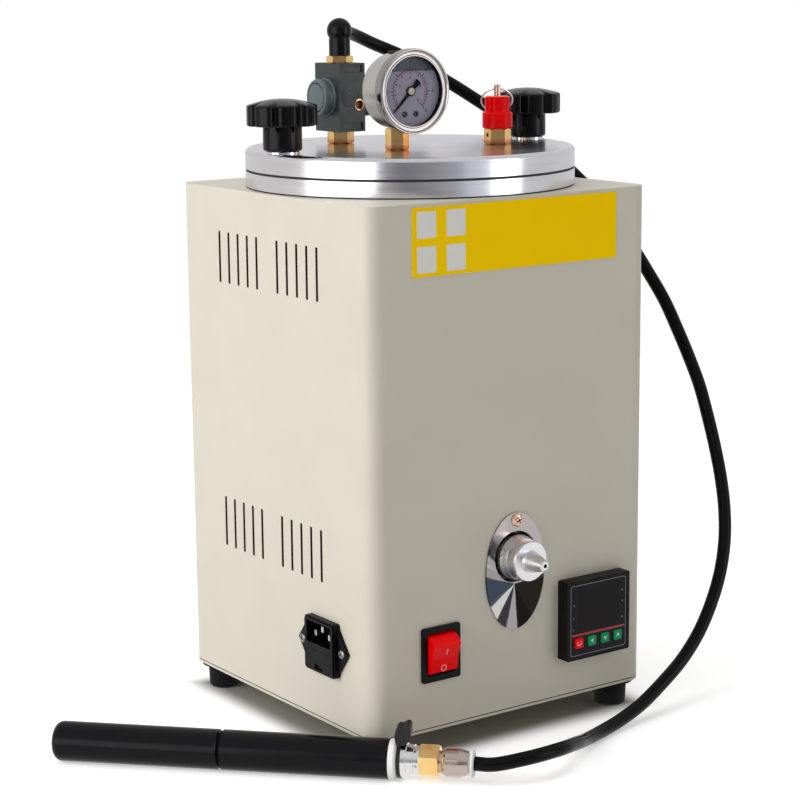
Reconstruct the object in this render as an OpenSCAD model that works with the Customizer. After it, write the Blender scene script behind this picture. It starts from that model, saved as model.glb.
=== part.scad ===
// Bench wax injector: a heated, pressurised pot in a square steel case, with a
// sprung front nozzle, a lid that carries the air fittings, and a hand pump on a hose.
// Millimetres. Origin: centre of the footprint, on the plane the feet stand on.
// +X is to the right along the front, the front panel faces -Y, +Z is up.

/* [Case] */
// Width of the case
case_w = 200; // [180:1:240]
// Depth of the case
case_d = 200; // [180:1:240]
// Height of the sheet case above the feet
case_h = 300; // [250:1:360]
// Outer radius of the upright case corners
corner_r = 10.3; // [6:0.1:14]
// Thickness of the case sheet
sheet_t = 1.2; // [0.8:0.1:1.6]
// Thickness of the base plate
base_t = 1.5; // [1:0.1:3]
// Height of the rubber feet
foot_h = 16; // [10:1:24]
// Radius of a foot
foot_r = 10.5; // [8:0.5:14]
// Distance of a foot's axis from the case sides
foot_inset = 14.7; // [14:0.1:20]
// Length of a vent slot
vent_len = 30.3; // [20:0.1:36]
// Width of a vent slot
vent_w = 2.3; // [1.5:0.1:3.5]

/* [Pot and lid] */
// Radius of the pot flange and of the lid
lid_r = 97.4; // [94:0.1:99]
// Inner radius of the pot
pot_r = 80; // [70:0.5:82]
// Wall of the pot
pot_wall = 4; // [3:0.5:5]
// Thickness of the pot bottom
pot_floor_t = 8; // [6:0.5:10]
// Thickness of the pot flange
flange_t = 8.8; // [7:0.1:12]
// Thickness of the lid
lid_t = 11.6; // [9:0.1:15]
// Thickness of the lid gasket
lid_gasket_t = 1.4; // [0.8:0.1:2]
// Distance of a lid stud from the centre
stud_x = 89; // [87:0.1:90]
// Radius of the lid studs
stud_r = 4; // [3:0.5:4.5]

/* [Front panel] */
// Height of the nozzle axis above the ground
nozzle_z = 108.7; // [104:0.1:125]
// Radius of the nozzle head
nozzle_r = 13.25; // [12:0.25:16]
// Travel of the nozzle when a mould presses it
nozzle_travel = 4; // [2:0.5:4.5]
// Width of the oval plate behind the nozzle
plate_w = 42.5; // [38:0.5:50]
// Height of the oval plate behind the nozzle
plate_h = 69; // [60:0.5:80]
// Side of the square temperature controller
control_w = 48; // [46:0.5:50]
// Width of the front label
label_w = 145.3; // [100:0.1:160]
// Height of the front label
label_h = 38; // [25:0.5:44]
// Width of the switch bezel
switch_w = 26.7; // [25:0.1:30]
// Height of the switch bezel
switch_h = 32; // [31:0.1:36]

/* [Lid fittings] */
// Radius of the gauge bezel
bezel_r = 24.2; // [22:0.1:27]
// Height of the gauge axis above the lid
gauge_rise = 33.8; // [30:0.1:40]
// Radius of the safety valve ring
ring_r = 9.3; // [8:0.1:10.5]
// Overall width of a star knob
star_w = 40.5; // [34:0.5:44]

/* [Pump and hose] */
// Radius of the pump barrel
pump_r = 11.4; // [10.5:0.1:13]
// Stroke of the pump handle
pump_stroke = 75; // [50:1:76]
// Outer diameter of the hose
hose_d = 8; // [6:0.5:8.5]

/* [Hidden] */
$fn = 48;

// Fits
run = 0.05;        // radial running clearance of a pin or shaft
seat = 0.1;        // gap between pieces that sit in each other without moving
free = 0.3;        // gap between pieces that pass each other
over = 1;          // how far a cut runs past the face it opens

// Levels, from the ground up
case_z = foot_h;
case_top = foot_h + case_h;
tray_step = 0.6;                      // the shadow gap between base plate and shell
shell_z = case_z + base_t + tray_step;
tray_lip = 9;                         // how far the base plate's lip stands up inside
flange_gasket_t = 0.8;
flange_z = case_top + flange_gasket_t;
flange_top = flange_z + flange_t;
lid_z = flange_top + lid_gasket_t;
lid_top = lid_z + lid_t;

// Case
front_y = -case_d / 2;
left_x = -case_w / 2;
foot_x = case_w / 2 - foot_inset;
foot_y = case_d / 2 - foot_inset;
foot_pad_r = foot_r + 4;
foot_pad_t = 1.6;
pot_outer_r = pot_r + pot_wall;
pot_hole_r = pot_outer_r + 1;
vent_low_z = shell_z + 81;
vent_high_z = case_top - 56;
vent_pitch = 10.3;
vent_count = 5;
vent_groups = [13.2, -50];            // where each group of slots starts along Y

// Pot
pot_bottom = case_z + 76;
pot_floor = pot_bottom + pot_floor_t;
lid_plug_h = 7;
heater_z = nozzle_z + 26;
heater_h = 60;
heater_t = 2.6;
probe_r = 2.5;
probe_len = 21;
probe_depth = 5;

// Nozzle
plate_t = 1.2;
plate_z = nozzle_z - 8.5;
plate_hole_r = nozzle_r + 1.9;
plate_screw_x = 0.9;
plate_screw_z = plate_z + 30.1;
screw_r = 1.45;
screw_hole_r = screw_r + seat;
nozzle_reach = 28;                    // tip in front of the case front
nozzle_face = 15;                     // flat face of the head in front of the case front
nozzle_back = -4;                     // back of the head, behind the case front
nozzle_face_r = 11.5;
tip_base_r = 6.5;
tip_r = 2.6;
orifice_r = 1.2;
stem_r = 4;
stem_end = -(case_d / 2 - pot_r) + 0.3;
block_r = 19;
block_face = nozzle_back - nozzle_travel - 0.5;
block_neck_r = 7.9;
spring_pocket_r = 9.4;
spring_pocket_deep = 8;
spring_r = 7.4;
spring_wire_r = 0.7;
spring_turns = 5;

// Switch, in front-panel coordinates
switch_x = -53.65;
switch_z = 61.2;
switch_pivot = -3;                    // pivot behind the case front
rocker_w = 18.6;
rocker_r = 12.1;
rocker_ridge = 41.6;                  // angle of each ridge from the middle
rocker_tilt = 13;
rocker_pin_r = 1.5;
pocket_w = rocker_w + 0.5;
pocket_h = 2 * (rocker_r + free);
switch_bezel_t = 1.5;
switch_depth = 19;

// Controller, in front-panel coordinates
control_x = 56.5;
control_z = 64.6;
control_out = 8.6;
control_body_w = control_w - 3.4;
control_depth = 46;
face_w = control_w - 5;
face_t = 1.2;
button_w = 6;
button_z = control_z - 13.8;
button_x = [-15.1, -5.1, 4.9, 14.7];
button_travel = 0.5;
button_out = 0.6;

// Label
label_x = 1.6;
label_z = case_top - 21.2;
label_t = 0.5;

// Power inlet, in left-face coordinates: u runs toward the front, v up
inlet_y = -52.8;
inlet_z = 62.4;
inlet_w = 30.5;
inlet_h = 32;
inlet_out = 5;
inlet_ear = 25;
inlet_ear_t = 2;
inlet_screw_u = 20;
inlet_body_w = 27;
inlet_body_h = 30;
inlet_depth = 22;
socket_w = 24.4;
socket_v = [1, 13.6];
socket_deep = 17;
drawer_w = 24.4;
drawer_h = 11;
drawer_v = -13.9;
drawer_len = 19;
pin_size = [2.2, 4.2];

// Lid fittings
port_r = 5;
reg_x = -19.3;
reg_y = 44.5;
reg_w = 18.4;
reg_front = 31;
reg_back = 57;
reg_z = lid_top + 7.4;
reg_h = 40.5;
reg_axis_z = reg_z + 20.4;
bonnet_r = 13;
bonnet_len = 22;
reg_knob_r = 14.5;
reg_knob_len = 24;
reg_cap_r = 11.25;
reg_cap_len = 8.1;
spindle_r = 3;
elbow_nut_t = 4.3;
elbow_nut_af = 14;
elbow_z = reg_z + reg_h + 19;
elbow_r = 6.35;
elbow_ball_r = 7.5;
elbow_arm_r = 5.8;
gauge_x = -23.8;
gauge_y = -20.6;
gauge_z = lid_top + gauge_rise;
gauge_front = 39;                     // front of the bezel, toward -Y
gauge_case_r = bezel_r - 2.7;
gauge_case_wall = 1;
gauge_case_front = 36.1;
gauge_case_back = 14.5;
glass_t = 1.2;
glass_front = 37.4;
dial_front = 33.8;
dial_t = 0.6;
needle_pin_r = 0.6;
gauge_boss_r = 5.5;
valve_x = 46.9;
valve_y = -24.1;
valve_hex_h = 9.1;
valve_stem_r = 1.9;
valve_stem_top = 34.9;                // above the lid
valve_lift = 3;
eye_rise = 32.4;                      // the ring's hole above the lid
eye_r = 0.85;
ring_wire_r = 0.5;
ring_az = -35.3;                      // direction of the hole through the stem
ring_drop = 49;                       // the ring hangs this far below level

// Knobs
hub_r = 11.2;
washer_t = 1.3;
washer_r = 9.65;
hub_h = 14.3;
star_t = 12.2;
dome_h = 3;
star_lobes = 8;
knob_z = lid_top + washer_t + 0.1;
stud_top = knob_z + hub_h + 3.7;

// Pump, as distances from its hose end back toward the handle
collar_t = 3;
fitting_end = 19.2;
coupling_end = 30.3;
lever_start = 40.4;
lever_end = 42.6;
head_end = 43;
ring_end = 47;
barrel_end = 143.7;
handle_start = 144;
handle_end = 241.2;
barrel_wall = 1.9;
guide_t = 6;
rod_r = 4;
rod_end = 170;
piston_start = 49;
piston_t = 9;
neck_r = 7;

// Hose: where its centre line runs, from the elbow to the pump
hose_points = [
  [-8, 61, 405.5], [3, 77, 405.5], [15, 90, 404], [28, 97, 401], [44, 99, 395],
  [60, 94, 388], [75, 87, 379], [90, 79, 369], [104, 69, 358], [117, 59, 347],
  [129, 48, 336], [140, 37, 324], [149, 26, 311], [157, 14, 297], [163, 3, 282],
  [168, -8, 267], [173, -19, 250], [177, -30, 233], [179, -40, 216], [181, -49, 199],
  [182, -58, 182], [181, -67, 164], [180, -75, 146], [177, -84, 128], [173, -92, 110],
  [167, -99, 92], [158, -105, 74], [146, -110, 57], [132, -114, 41.5], [116, -117, 28.5],
  [97, -120, 18], [78, -123.5, 10], [57.5, -128, 5.5], [37, -134, 4.3], [18, -143, 6.3],
  [0, -154.5, 11], [-19, -163.5, 14.5], [-40, -163.3, 14.3], [-57.7, -153.7, 11.4],
  [-64.7, -146.5, 11.4]
];
hose_sides = 10;
hose_first = hose_points[0];
hose_last = hose_points[len(hose_points) - 1];
hose_run_in = hose_last - hose_points[len(hose_points) - 2];
pump_az = atan2(hose_run_in.y, hose_run_in.x);
elbow_az = atan2(hose_first.y - reg_y, hose_first.x - reg_x);
elbow_arm = norm([hose_first.x - reg_x, hose_first.y - reg_y]) - run;

// ---- Shared shapes -------------------------------------------------------

function unit(v) = v / norm(v);

// Direction of a route at one of its points
function heading(p, i) =
  i == 0 ? unit(p[1] - p[0])
  : i == len(p) - 1 ? unit(p[i] - p[i - 1])
  : unit(unit(p[i + 1] - p[i]) + unit(p[i] - p[i - 1]));

// A side direction for each point, carried along the route without twisting
function sides(p, n, i = 0) =
  i == len(p) ? []
  : let (t = heading(p, i), m = unit(n - (n * t) * t)) concat([m], sides(p, m, i + 1));

// A round tube of radius r swept along the points p; n starts the side direction
module tube(p, r, count, n) {
  m = sides(p, n);
  rings = [for (i = [0:len(p) - 1]) let (t = heading(p, i), b = cross(t, m[i]))
    for (k = [0:count - 1]) p[i] + r * (cos(360 * k / count) * m[i] + sin(360 * k / count) * b)];
  last = (len(p) - 1) * count;
  first_cap = [for (k = [1:count - 2]) [0, k, k + 1]];
  last_cap = [for (k = [1:count - 2]) [last, last + k + 1, last + k]];
  walls = [for (i = [0:len(p) - 2]) for (k = [0:count - 1])
    let (a = i * count + k, b = i * count + (k + 1) % count)
    for (f = [[a, a + count, b], [b, a + count, b + count]]) f];
  polyhedron(rings, concat(first_cap, last_cap, walls));
}

// A box on z = 0 with round upright edges
module round_box(w, d, h, r) {
  translate([-w / 2 + r, -d / 2, 0])
    cube([w - 2 * r, d, h]);
  translate([-w / 2, -d / 2 + r, 0])
    cube([w, d - 2 * r, h]);
  for (x = [-1, 1], y = [-1, 1])
    translate([x * (w / 2 - r), y * (d / 2 - r), 0])
      cylinder(h = h, r = r);
}

// A hexagonal bar with its corner edges turned off at the ends that are asked for
module hex_bar(af, h, low = true, high = true) {
  corner = af / sqrt(3);
  bevel = (corner - af / 2) * 0.6;
  intersection() {
    cylinder(h = h, r = corner, $fn = 6);
    rotate_extrude()
      polygon([
        [0, 0], [low ? corner - 2 * bevel : corner, 0], [corner, low ? bevel : 0],
        [corner, high ? h - bevel : h], [high ? corner - 2 * bevel : corner, h], [0, h]
      ]);
  }
}

// A turned piece: the outline holds [radius, height] points
module turned(outline) {
  rotate_extrude()
    polygon(outline);
}

// A disc whose top edge is rounded by r
module soft_disc(radius, h, r) {
  cylinder(h = h - r, r = radius);
  cylinder(h = h, r = radius - r);
  translate([0, 0, h - r])
    rotate_extrude()
      translate([radius - r, 0])
        intersection() {
          circle(r = r);
          square(r);
        }
}

// Coordinates on the front panel: x right, y up, z outward
module on_front(x, z) {
  translate([x, front_y, z])
    rotate([90, 0, 0])
      children();
}

// Coordinates on the left face: x toward the front, y up, z outward
module on_left(y, z) {
  translate([left_x, y, z])
    rotate([90, 0, -90])
      children();
}

// Coordinates on the gauge axis: z runs toward the reader, from the stem's axis plane
module on_gauge() {
  translate([gauge_x, 0, gauge_z])
    rotate([90, 0, 0])
      children();
}

// Coordinates along the pump: z runs back from the hose end, x is up
module on_pump() {
  translate(hose_last)
    rotate([0, 0, pump_az])
      rotate([0, 90, 0])
        rotate([0, 0, 180])
          children();
}

// Coordinates on a regulator part: z runs to the right along the regulator's axis
module on_regulator(x) {
  translate([x, reg_y, reg_axis_z])
    rotate([0, 90, 0])
      children();
}

// ---- Case ----------------------------------------------------------------

module vent_slots() {
  for (side = [-1, 1], low = [vent_low_z, vent_high_z], start = vent_groups)
    for (i = [0:vent_count - 1])
      translate([side * case_w / 2 - 2 * sheet_t, start + i * vent_pitch - vent_w / 2, low])
        cube([4 * sheet_t, vent_w, vent_len]);
}

module housing_shell() {
  color("#D2CBB9")
    difference() {
      translate([0, 0, shell_z])
        round_box(case_w, case_d, case_top - shell_z, corner_r);
      translate([0, 0, shell_z - over])
        round_box(case_w - 2 * sheet_t, case_d - 2 * sheet_t,
          case_top - shell_z - sheet_t + over, corner_r - sheet_t);
      translate([0, 0, case_top - 2 * sheet_t])
        cylinder(h = 4 * sheet_t, r = pot_hole_r);
      vent_slots();
      on_front(0, nozzle_z)
        translate([0, 0, -2 * sheet_t])
          cylinder(h = 4 * sheet_t, r = plate_hole_r);
      on_front(plate_screw_x, plate_screw_z)
        translate([0, 0, -2 * sheet_t])
          cylinder(h = 4 * sheet_t, r = screw_hole_r);
      on_front(switch_x, switch_z)
        translate([0, 0, -2 * sheet_t])
          round_box(pocket_w + 3.2, pocket_h + 3.2, 4 * sheet_t, 0.5);
      on_front(control_x, control_z)
        translate([0, 0, -2 * sheet_t])
          round_box(control_body_w + 0.4, control_body_w + 0.4, 4 * sheet_t, 0.5);
      on_left(inlet_y, inlet_z) {
        translate([0, 0, -2 * sheet_t])
          round_box(inlet_body_w + 0.4, inlet_body_h + 0.4, 4 * sheet_t, 0.5);
        for (s = [-1, 1])
          translate([s * inlet_screw_u, 0, -2 * sheet_t])
            cylinder(h = 4 * sheet_t, r = screw_hole_r);
      }
    }
}

module base_plate() {
  color("#D8D2C4") {
    difference() {
      union() {
        translate([0, 0, case_z])
          round_box(case_w, case_d, base_t, corner_r);
        translate([0, 0, case_z + base_t])
          round_box(case_w - 2 * tray_step, case_d - 2 * tray_step, tray_step,
            corner_r - tray_step);
        translate([0, 0, shell_z])
          round_box(case_w - 2 * sheet_t - 0.4, case_d - 2 * sheet_t - 0.4, tray_lip,
            corner_r - sheet_t - 0.2);
      }
      translate([0, 0, case_z + base_t])
        round_box(case_w - 4 * sheet_t - 0.4, case_d - 4 * sheet_t - 0.4, tray_lip + 5,
          corner_r - 2 * sheet_t - 0.2);
    }
  }
}

module feet() {
  color("#1C1B1A")
    for (x = [-foot_x, foot_x], y = [-foot_y, foot_y])
      translate([x, y, 0])
        turned([
          [0, 0], [foot_r - 1.5, 0], [foot_r - 0.6, 1], [foot_r, foot_h - foot_pad_t],
          [foot_pad_r - 0.3, foot_h - foot_pad_t], [foot_pad_r, foot_h - foot_pad_t / 2],
          [foot_pad_r, foot_h], [0, foot_h]
        ]);
}

module front_label() {
  color("#EABA00")
    on_front(label_x, label_z)
      round_box(label_w, label_h, label_t, 0.8);
}

// ---- Pot, heater and nozzle ----------------------------------------------

module wax_pot() {
  color("#B9BABC")
    difference() {
      union() {
        translate([0, 0, pot_bottom])
          cylinder(h = flange_top - pot_bottom, r = pot_outer_r, $fn = 96);
        translate([0, 0, flange_z])
          cylinder(h = flange_t, r = lid_r, $fn = 96);
      }
      translate([0, 0, pot_floor])
        cylinder(h = flange_top - pot_floor + over, r = pot_r, $fn = 96);
      for (s = [-1, 1])
        translate([s * stud_x, 0, flange_z + 1.2])
          cylinder(h = flange_t, r = stud_r + seat);
      translate([0, 0, pot_bottom - over])
        cylinder(h = probe_depth + over + seat, r = probe_r + seat);
      on_front(0, nozzle_z)
        translate([0, 0, -case_d / 2 + pot_r - 5])
          cylinder(h = 12, r = block_neck_r + seat);
    }
}

module flange_gasket() {
  color("#191919")
    translate([0, 0, case_top])
      difference() {
        cylinder(h = flange_gasket_t, r = lid_r - 0.5, $fn = 96);
        translate([0, 0, -over])
          cylinder(h = flange_gasket_t + 2 * over, r = pot_outer_r + seat, $fn = 96);
      }
}

module lid_gasket() {
  color("#191919")
    translate([0, 0, flange_top])
      difference() {
        cylinder(h = lid_gasket_t, r = lid_r - 0.4, $fn = 96);
        translate([0, 0, -over])
          cylinder(h = lid_gasket_t + 2 * over, r = pot_r, $fn = 96);
        for (s = [-1, 1])
          translate([s * stud_x, 0, -over])
            cylinder(h = lid_gasket_t + 2 * over, r = stud_r + free);
      }
}

module heater_band() {
  color("#8F8A80")
    translate([0, 0, heater_z])
      difference() {
        cylinder(h = heater_h, r = pot_outer_r + seat + heater_t, $fn = 96);
        translate([0, 0, -over])
          cylinder(h = heater_h + 2 * over, r = pot_outer_r + seat, $fn = 96);
        // the gap that the clamping screws would pull together, at the back
        translate([-2, pot_outer_r - 10, -over])
          cube([4, 20, heater_h + 2 * over]);
      }
}

module temperature_sensor() {
  color("#A9ADB0") {
    translate([0, 0, pot_bottom + probe_depth - probe_len])
      cylinder(h = probe_len, r = probe_r);
    translate([0, 0, pot_bottom - 6])
      cylinder(h = 6, r = 5.8, $fn = 6);
  }
}

module valve_block() {
  color("#A8ABAE")
    difference() {
      union() {
        on_front(0, nozzle_z)
          translate([0, 0, -case_d / 2 + pot_r])
            cylinder(h = case_d / 2 - pot_r + block_face, r = block_r);
      }
      // the block's back follows the pot wall
      translate([0, 0, nozzle_z - block_r - over])
        cylinder(h = 2 * (block_r + over), r = pot_outer_r + seat, $fn = 96);
      on_front(0, nozzle_z)
        translate([0, 0, -case_d / 2])
          cylinder(h = case_d, r = stem_r + run);
    }
  color("#A8ABAE")
    on_front(0, nozzle_z)
      translate([0, 0, -case_d / 2 + pot_r - 1])
        difference() {
          cylinder(h = pot_wall + 4, r = block_neck_r);
          translate([0, 0, -over])
            cylinder(h = pot_wall + 10, r = stem_r + run);
        }
}

// The oval is a true ellipse outline
module ellipse(w, h) {
  polygon([for (i = [0:71]) [w / 2 * cos(5 * i), h / 2 * sin(5 * i)]]);
}

module nozzle_escutcheon() {
  color("#C9CACC")
    on_front(0, nozzle_z)
      difference() {
        translate([0, plate_z - nozzle_z, 0])
          linear_extrude(plate_t)
            ellipse(plate_w, plate_h);
        translate([0, 0, -over])
          cylinder(h = plate_t + 2 * over, r = plate_hole_r);
        translate([plate_screw_x, plate_screw_z - nozzle_z, -over])
          cylinder(h = plate_t + 2 * over, r = screw_hole_r);
      }
}

module escutcheon_screw() {
  color("#B98A5E")
    on_front(plate_screw_x, plate_screw_z)
      translate([0, 0, plate_t]) {
        difference() {
          turned([[0, 0], [4.1, 0], [4, 0.7], [3.2, 1.6], [1.8, 2.2], [0, 2.4]]);
          for (a = [20, 110])
            rotate([0, 0, a])
              translate([-2.1, -0.4, 1])
                cube([4.2, 0.8, 2]);
        }
        translate([0, 0, -6])
          cylinder(h = 6, r = screw_r);
      }
}

module nozzle() {
  color("#C4C6C8")
    on_front(0, nozzle_z)
      difference() {
        union() {
          turned([
            [0, nozzle_back], [nozzle_r, nozzle_back], [nozzle_r, 3],
            [nozzle_face_r + 0.8, nozzle_face - 7.4], [nozzle_face_r + 0.6, nozzle_face - 6.8],
            [nozzle_face_r + 0.3, nozzle_face - 1.2], [nozzle_face_r - 0.1, nozzle_face],
            [tip_base_r, nozzle_face],
            [tip_r + 0.5, nozzle_reach - 0.8], [tip_r - 0.2, nozzle_reach],
            [0, nozzle_reach]
          ]);
          translate([0, 0, stem_end])
            cylinder(h = nozzle_back - stem_end + 0.5, r = stem_r);
        }
        difference() {
          translate([0, 0, nozzle_back - over])
            cylinder(h = spring_pocket_deep + over, r = spring_pocket_r);
          translate([0, 0, nozzle_back - 2 * over])
            cylinder(h = spring_pocket_deep + 4 * over, r = stem_r);
        }
        translate([0, 0, stem_end + 3])
          cylinder(h = nozzle_reach - stem_end, r = orifice_r);
        translate([0, 0, stem_end + 4])
          rotate([0, 90, 0])
            cylinder(h = 3 * stem_r, r = 1, center = true);
      }
}

spring_low = block_face + spring_wire_r + run;
spring_high = nozzle_back + spring_pocket_deep - spring_wire_r - run;
spring_pitch = (spring_high - spring_low) / spring_turns;
spring_rings = 8 * spring_turns;
spring_points = [for (i = [0:spring_rings])
  [spring_r * cos(45 * i), spring_r * sin(45 * i), spring_low + spring_pitch * i / 8]];
spring_gaps = [for (i = [0:spring_rings - 8]) for (j = [i + 7:min(i + 9, spring_rings)])
  norm(spring_points[i] - spring_points[j]) - 2 * spring_wire_r];
echo(least_gap_between_spring_turns = min(spring_gaps));

module nozzle_spring() {
  color("#9A9C9E")
    on_front(0, nozzle_z)
      tube(spring_points, spring_wire_r, 6, [1, 0, 0]);
}

// ---- Front controls ------------------------------------------------------

module switch_bezel() {
  color("#161616")
    on_front(switch_x, switch_z)
      difference() {
        union() {
          round_box(switch_w, switch_h, switch_bezel_t, 1.5);
          translate([0, 0, -switch_depth])
            round_box(pocket_w + 2.8, pocket_h + 2.8, switch_depth, 0.5);
        }
        translate([-pocket_w / 2, -pocket_h / 2, -switch_depth + 2])
          cube([pocket_w, pocket_h, switch_depth + switch_bezel_t]);
        translate([0, 0, switch_pivot])
          rotate([0, 90, 0])
            cylinder(h = pocket_w + 1.8, r = rocker_pin_r + run, center = true);
      }
}

// Side view of the rocker about its pivot: [outward, up]
rocker_front = [for (a = [-1, 1]) rocker_r * [cos(a * rocker_ridge), sin(a * rocker_ridge)]];
rocker_outline = concat(
  [[-2, -rocker_r * cos(10)]],
  [for (a = [-80:8:-rocker_ridge]) rocker_r * [cos(a), sin(a)]],
  [rocker_front[0], [rocker_front[0].x - 0.9, 0], rocker_front[1]],
  [for (a = [rocker_ridge:8:80]) rocker_r * [cos(a), sin(a)]],
  [[-2, rocker_r * cos(10)]]
);

module switch_rocker() {
  color("#141414")
    on_front(switch_x, switch_z)
      translate([0, 0, switch_pivot]) {
        rotate([rocker_tilt, 0, 0])
          rotate([0, -90, 0])
            linear_extrude(rocker_w, center = true)
              polygon(rocker_outline);
        rotate([0, 90, 0])
          cylinder(h = rocker_w + 1.6, r = rocker_pin_r, center = true);
      }
}

module controller_case() {
  color("#1D1D1F")
    on_front(control_x, control_z)
      difference() {
        union() {
          round_box(control_w, control_w, control_out, 1);
          translate([0, 0, -control_depth])
            round_box(control_body_w, control_body_w, control_depth, 0.8);
        }
        translate([0, 0, control_out - face_t])
          round_box(face_w + 2 * seat, face_w + 2 * seat, face_t + over, 1);
        for (x = button_x)
          translate([x, button_z - control_z, control_out - face_t - 2])
            round_box(button_w + 2 * free, button_w + 2 * free, 4, 0.8);
      }
}

module controller_faceplate() {
  color("#0E0E10")
    on_front(control_x, control_z)
      translate([0, 0, control_out - face_t])
        difference() {
          round_box(face_w, face_w, face_t - 0.2, 0.9);
          for (x = button_x)
            translate([x, button_z - control_z, -over])
              round_box(button_w + 2 * free, button_w + 2 * free, 4, 0.8);
        }
}

module push_button(index) {
  on_front(control_x + button_x[index], button_z)
    translate([0, 0, control_out - face_t - 2 + button_travel + 0.1])
      round_box(button_w, button_w, face_t + 2 - button_travel - 0.1 + button_out, 0.8);
}

module set_button() {
  color("#C8101C")
    push_button(0);
}

module shift_button() {
  color("#0E8A46")
    push_button(1);
}

module down_button() {
  color("#0E8A46")
    push_button(2);
}

module up_button() {
  color("#0E8A46")
    push_button(3);
}

// ---- Power inlet ---------------------------------------------------------

module power_inlet() {
  color("#1B1B1D")
    on_left(inlet_y, inlet_z)
      difference() {
        union() {
          linear_extrude(inlet_ear_t)
            polygon([
              [-inlet_ear, 0], [-inlet_w / 2 + 2, -inlet_h / 2], [inlet_w / 2 - 2, -inlet_h / 2],
              [inlet_ear, 0], [inlet_w / 2 - 2, inlet_h / 2], [-inlet_w / 2 + 2, inlet_h / 2]
            ]);
          round_box(inlet_w, inlet_h, inlet_out - 1, 2);
          round_box(inlet_w - 2, inlet_h - 2, inlet_out, 1.5);
          translate([0, 0, -inlet_depth])
            round_box(inlet_body_w, inlet_body_h, inlet_depth, 0.6);
        }
        translate([-socket_w / 2, socket_v[0], inlet_out - socket_deep])
          cube([socket_w, socket_v[1] - socket_v[0], socket_deep + over]);
        translate([-drawer_w / 2 - 0.2, drawer_v - 0.2, inlet_out - drawer_len - 0.5])
          cube([drawer_w + 0.4, drawer_h + 0.4, drawer_len + over]);
        for (s = [-1, 1])
          translate([s * inlet_screw_u, 0, -over])
            cylinder(h = inlet_ear_t + 2 * over, r = screw_hole_r);
      }
}

module inlet_pins() {
  color("#D5D6D8")
    on_left(inlet_y, inlet_z)
      for (p = [[-7, 6.2], [7, 6.2], [0, 9.6]])
        translate([p.x - pin_size.x / 2, p.y - pin_size.y / 2 + 0.5, inlet_out - socket_deep])
          cube([pin_size.x, pin_size.y - 1, socket_deep - 3]);
}

module inlet_screws() {
  color("#C8C9CB")
    on_left(inlet_y, inlet_z)
      for (s = [-1, 1])
        translate([s * inlet_screw_u, 0, inlet_ear_t]) {
          difference() {
            turned([[0, 0], [2.7, 0], [2.6, 0.8], [1.9, 1.3], [0, 1.5]]);
            for (a = [45, 135])
              rotate([0, 0, a])
                translate([-1.5, -0.3, 0.7])
                  cube([3, 0.6, 2]);
          }
          translate([0, 0, -6])
            cylinder(h = 6, r = screw_r);
        }
}

module fuse_drawer() {
  color("#232326")
    on_left(inlet_y, inlet_z)
      difference() {
        translate([-drawer_w / 2, drawer_v, inlet_out - drawer_len])
          cube([drawer_w, drawer_h, drawer_len]);
        // finger notch
        translate([-4, drawer_v - over, inlet_out - 1.2])
          cube([8, 3 + over, 3]);
        // room for the fuse
        translate([-11, drawer_v + 2, inlet_out - drawer_len + 2])
          cube([22, drawer_h, drawer_len - 5]);
      }
}

// ---- Lid, studs and knobs ------------------------------------------------

module lid() {
  color("#C6C4C6")
    difference() {
      union() {
        translate([0, 0, lid_z])
          soft_disc(lid_r, lid_t, 3, $fn = 96);
        translate([0, 0, lid_z - lid_plug_h])
          cylinder(h = lid_plug_h + 0.5, r = pot_r - 0.5, $fn = 96);
      }
      // the plug is a rim, not a solid slab
      translate([0, 0, lid_z - lid_plug_h - over])
        cylinder(h = lid_plug_h + over, r = pot_r - 5, $fn = 96);
      for (s = [-1, 1])
        translate([s * stud_x, 0, lid_z - over])
          cylinder(h = lid_t + 2 * over, r = stud_r + free);
      for (p = [[reg_x, reg_y], [gauge_x, gauge_y], [valve_x, valve_y]])
        translate([p.x, p.y, lid_z - over])
          cylinder(h = lid_t + 2 * over, r = port_r + seat);
    }
}

module lid_studs() {
  color("#B4B6B9")
    for (s = [-1, 1])
      translate([s * stud_x, 0, flange_z + 1.2])
        turned([
          [0, 0], [stud_r, 0], [stud_r, stud_top - flange_z - 2.2],
          [stud_r - 1, stud_top - flange_z - 1.2], [0, stud_top - flange_z - 1.2]
        ]);
}

module lid_washer(side) {
  translate([side * stud_x, 0, lid_top])
    difference() {
      turned([
        [0, 0], [washer_r, 0], [washer_r, washer_t - 0.3], [washer_r - 0.3, washer_t], [0, washer_t]
      ]);
      translate([0, 0, -over])
        cylinder(h = washer_t + 2 * over, r = stud_r + run);
    }
}

module washer_left() {
  color("#DADBDD")
    lid_washer(-1);
}

module washer_right() {
  color("#DADBDD")
    lid_washer(1);
}

module star_knob(side) {
  lobe_r = star_w * 0.118;
  star_z = hub_h;
  dome_r = star_w * 0.35;
  dome_sphere = (dome_r * dome_r + dome_h * dome_h) / (2 * dome_h);
  translate([side * stud_x, 0, knob_z])
    difference() {
      union() {
        turned([
          [0, 0], [hub_r - 2, 0], [hub_r - 0.6, 0.6], [hub_r, 2], [hub_r, star_z + 1],
          [0, star_z + 1]
        ]);
        translate([0, 0, star_z]) {
          cylinder(h = star_t, r = star_w / 2 - lobe_r * 0.75);
          for (i = [0:star_lobes - 1])
            rotate([0, 0, 360 / star_lobes * (i + 0.5)])
              translate([star_w / 2 - lobe_r, 0, 0])
                turned([
                  [0, 0], [lobe_r - 1.2, 0], [lobe_r, 1.2], [lobe_r, star_t - 1.2],
                  [lobe_r - 1.2, star_t], [0, star_t]
                ]);
        }
        intersection() {
          translate([0, 0, star_z + star_t])
            cylinder(h = dome_h, r = dome_r);
          translate([0, 0, star_z + star_t + dome_h - dome_sphere])
            sphere(r = dome_sphere);
        }
      }
      translate([0, 0, -over])
        cylinder(h = stud_top - knob_z + 1 + over, r = stud_r + run);
    }
}

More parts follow.
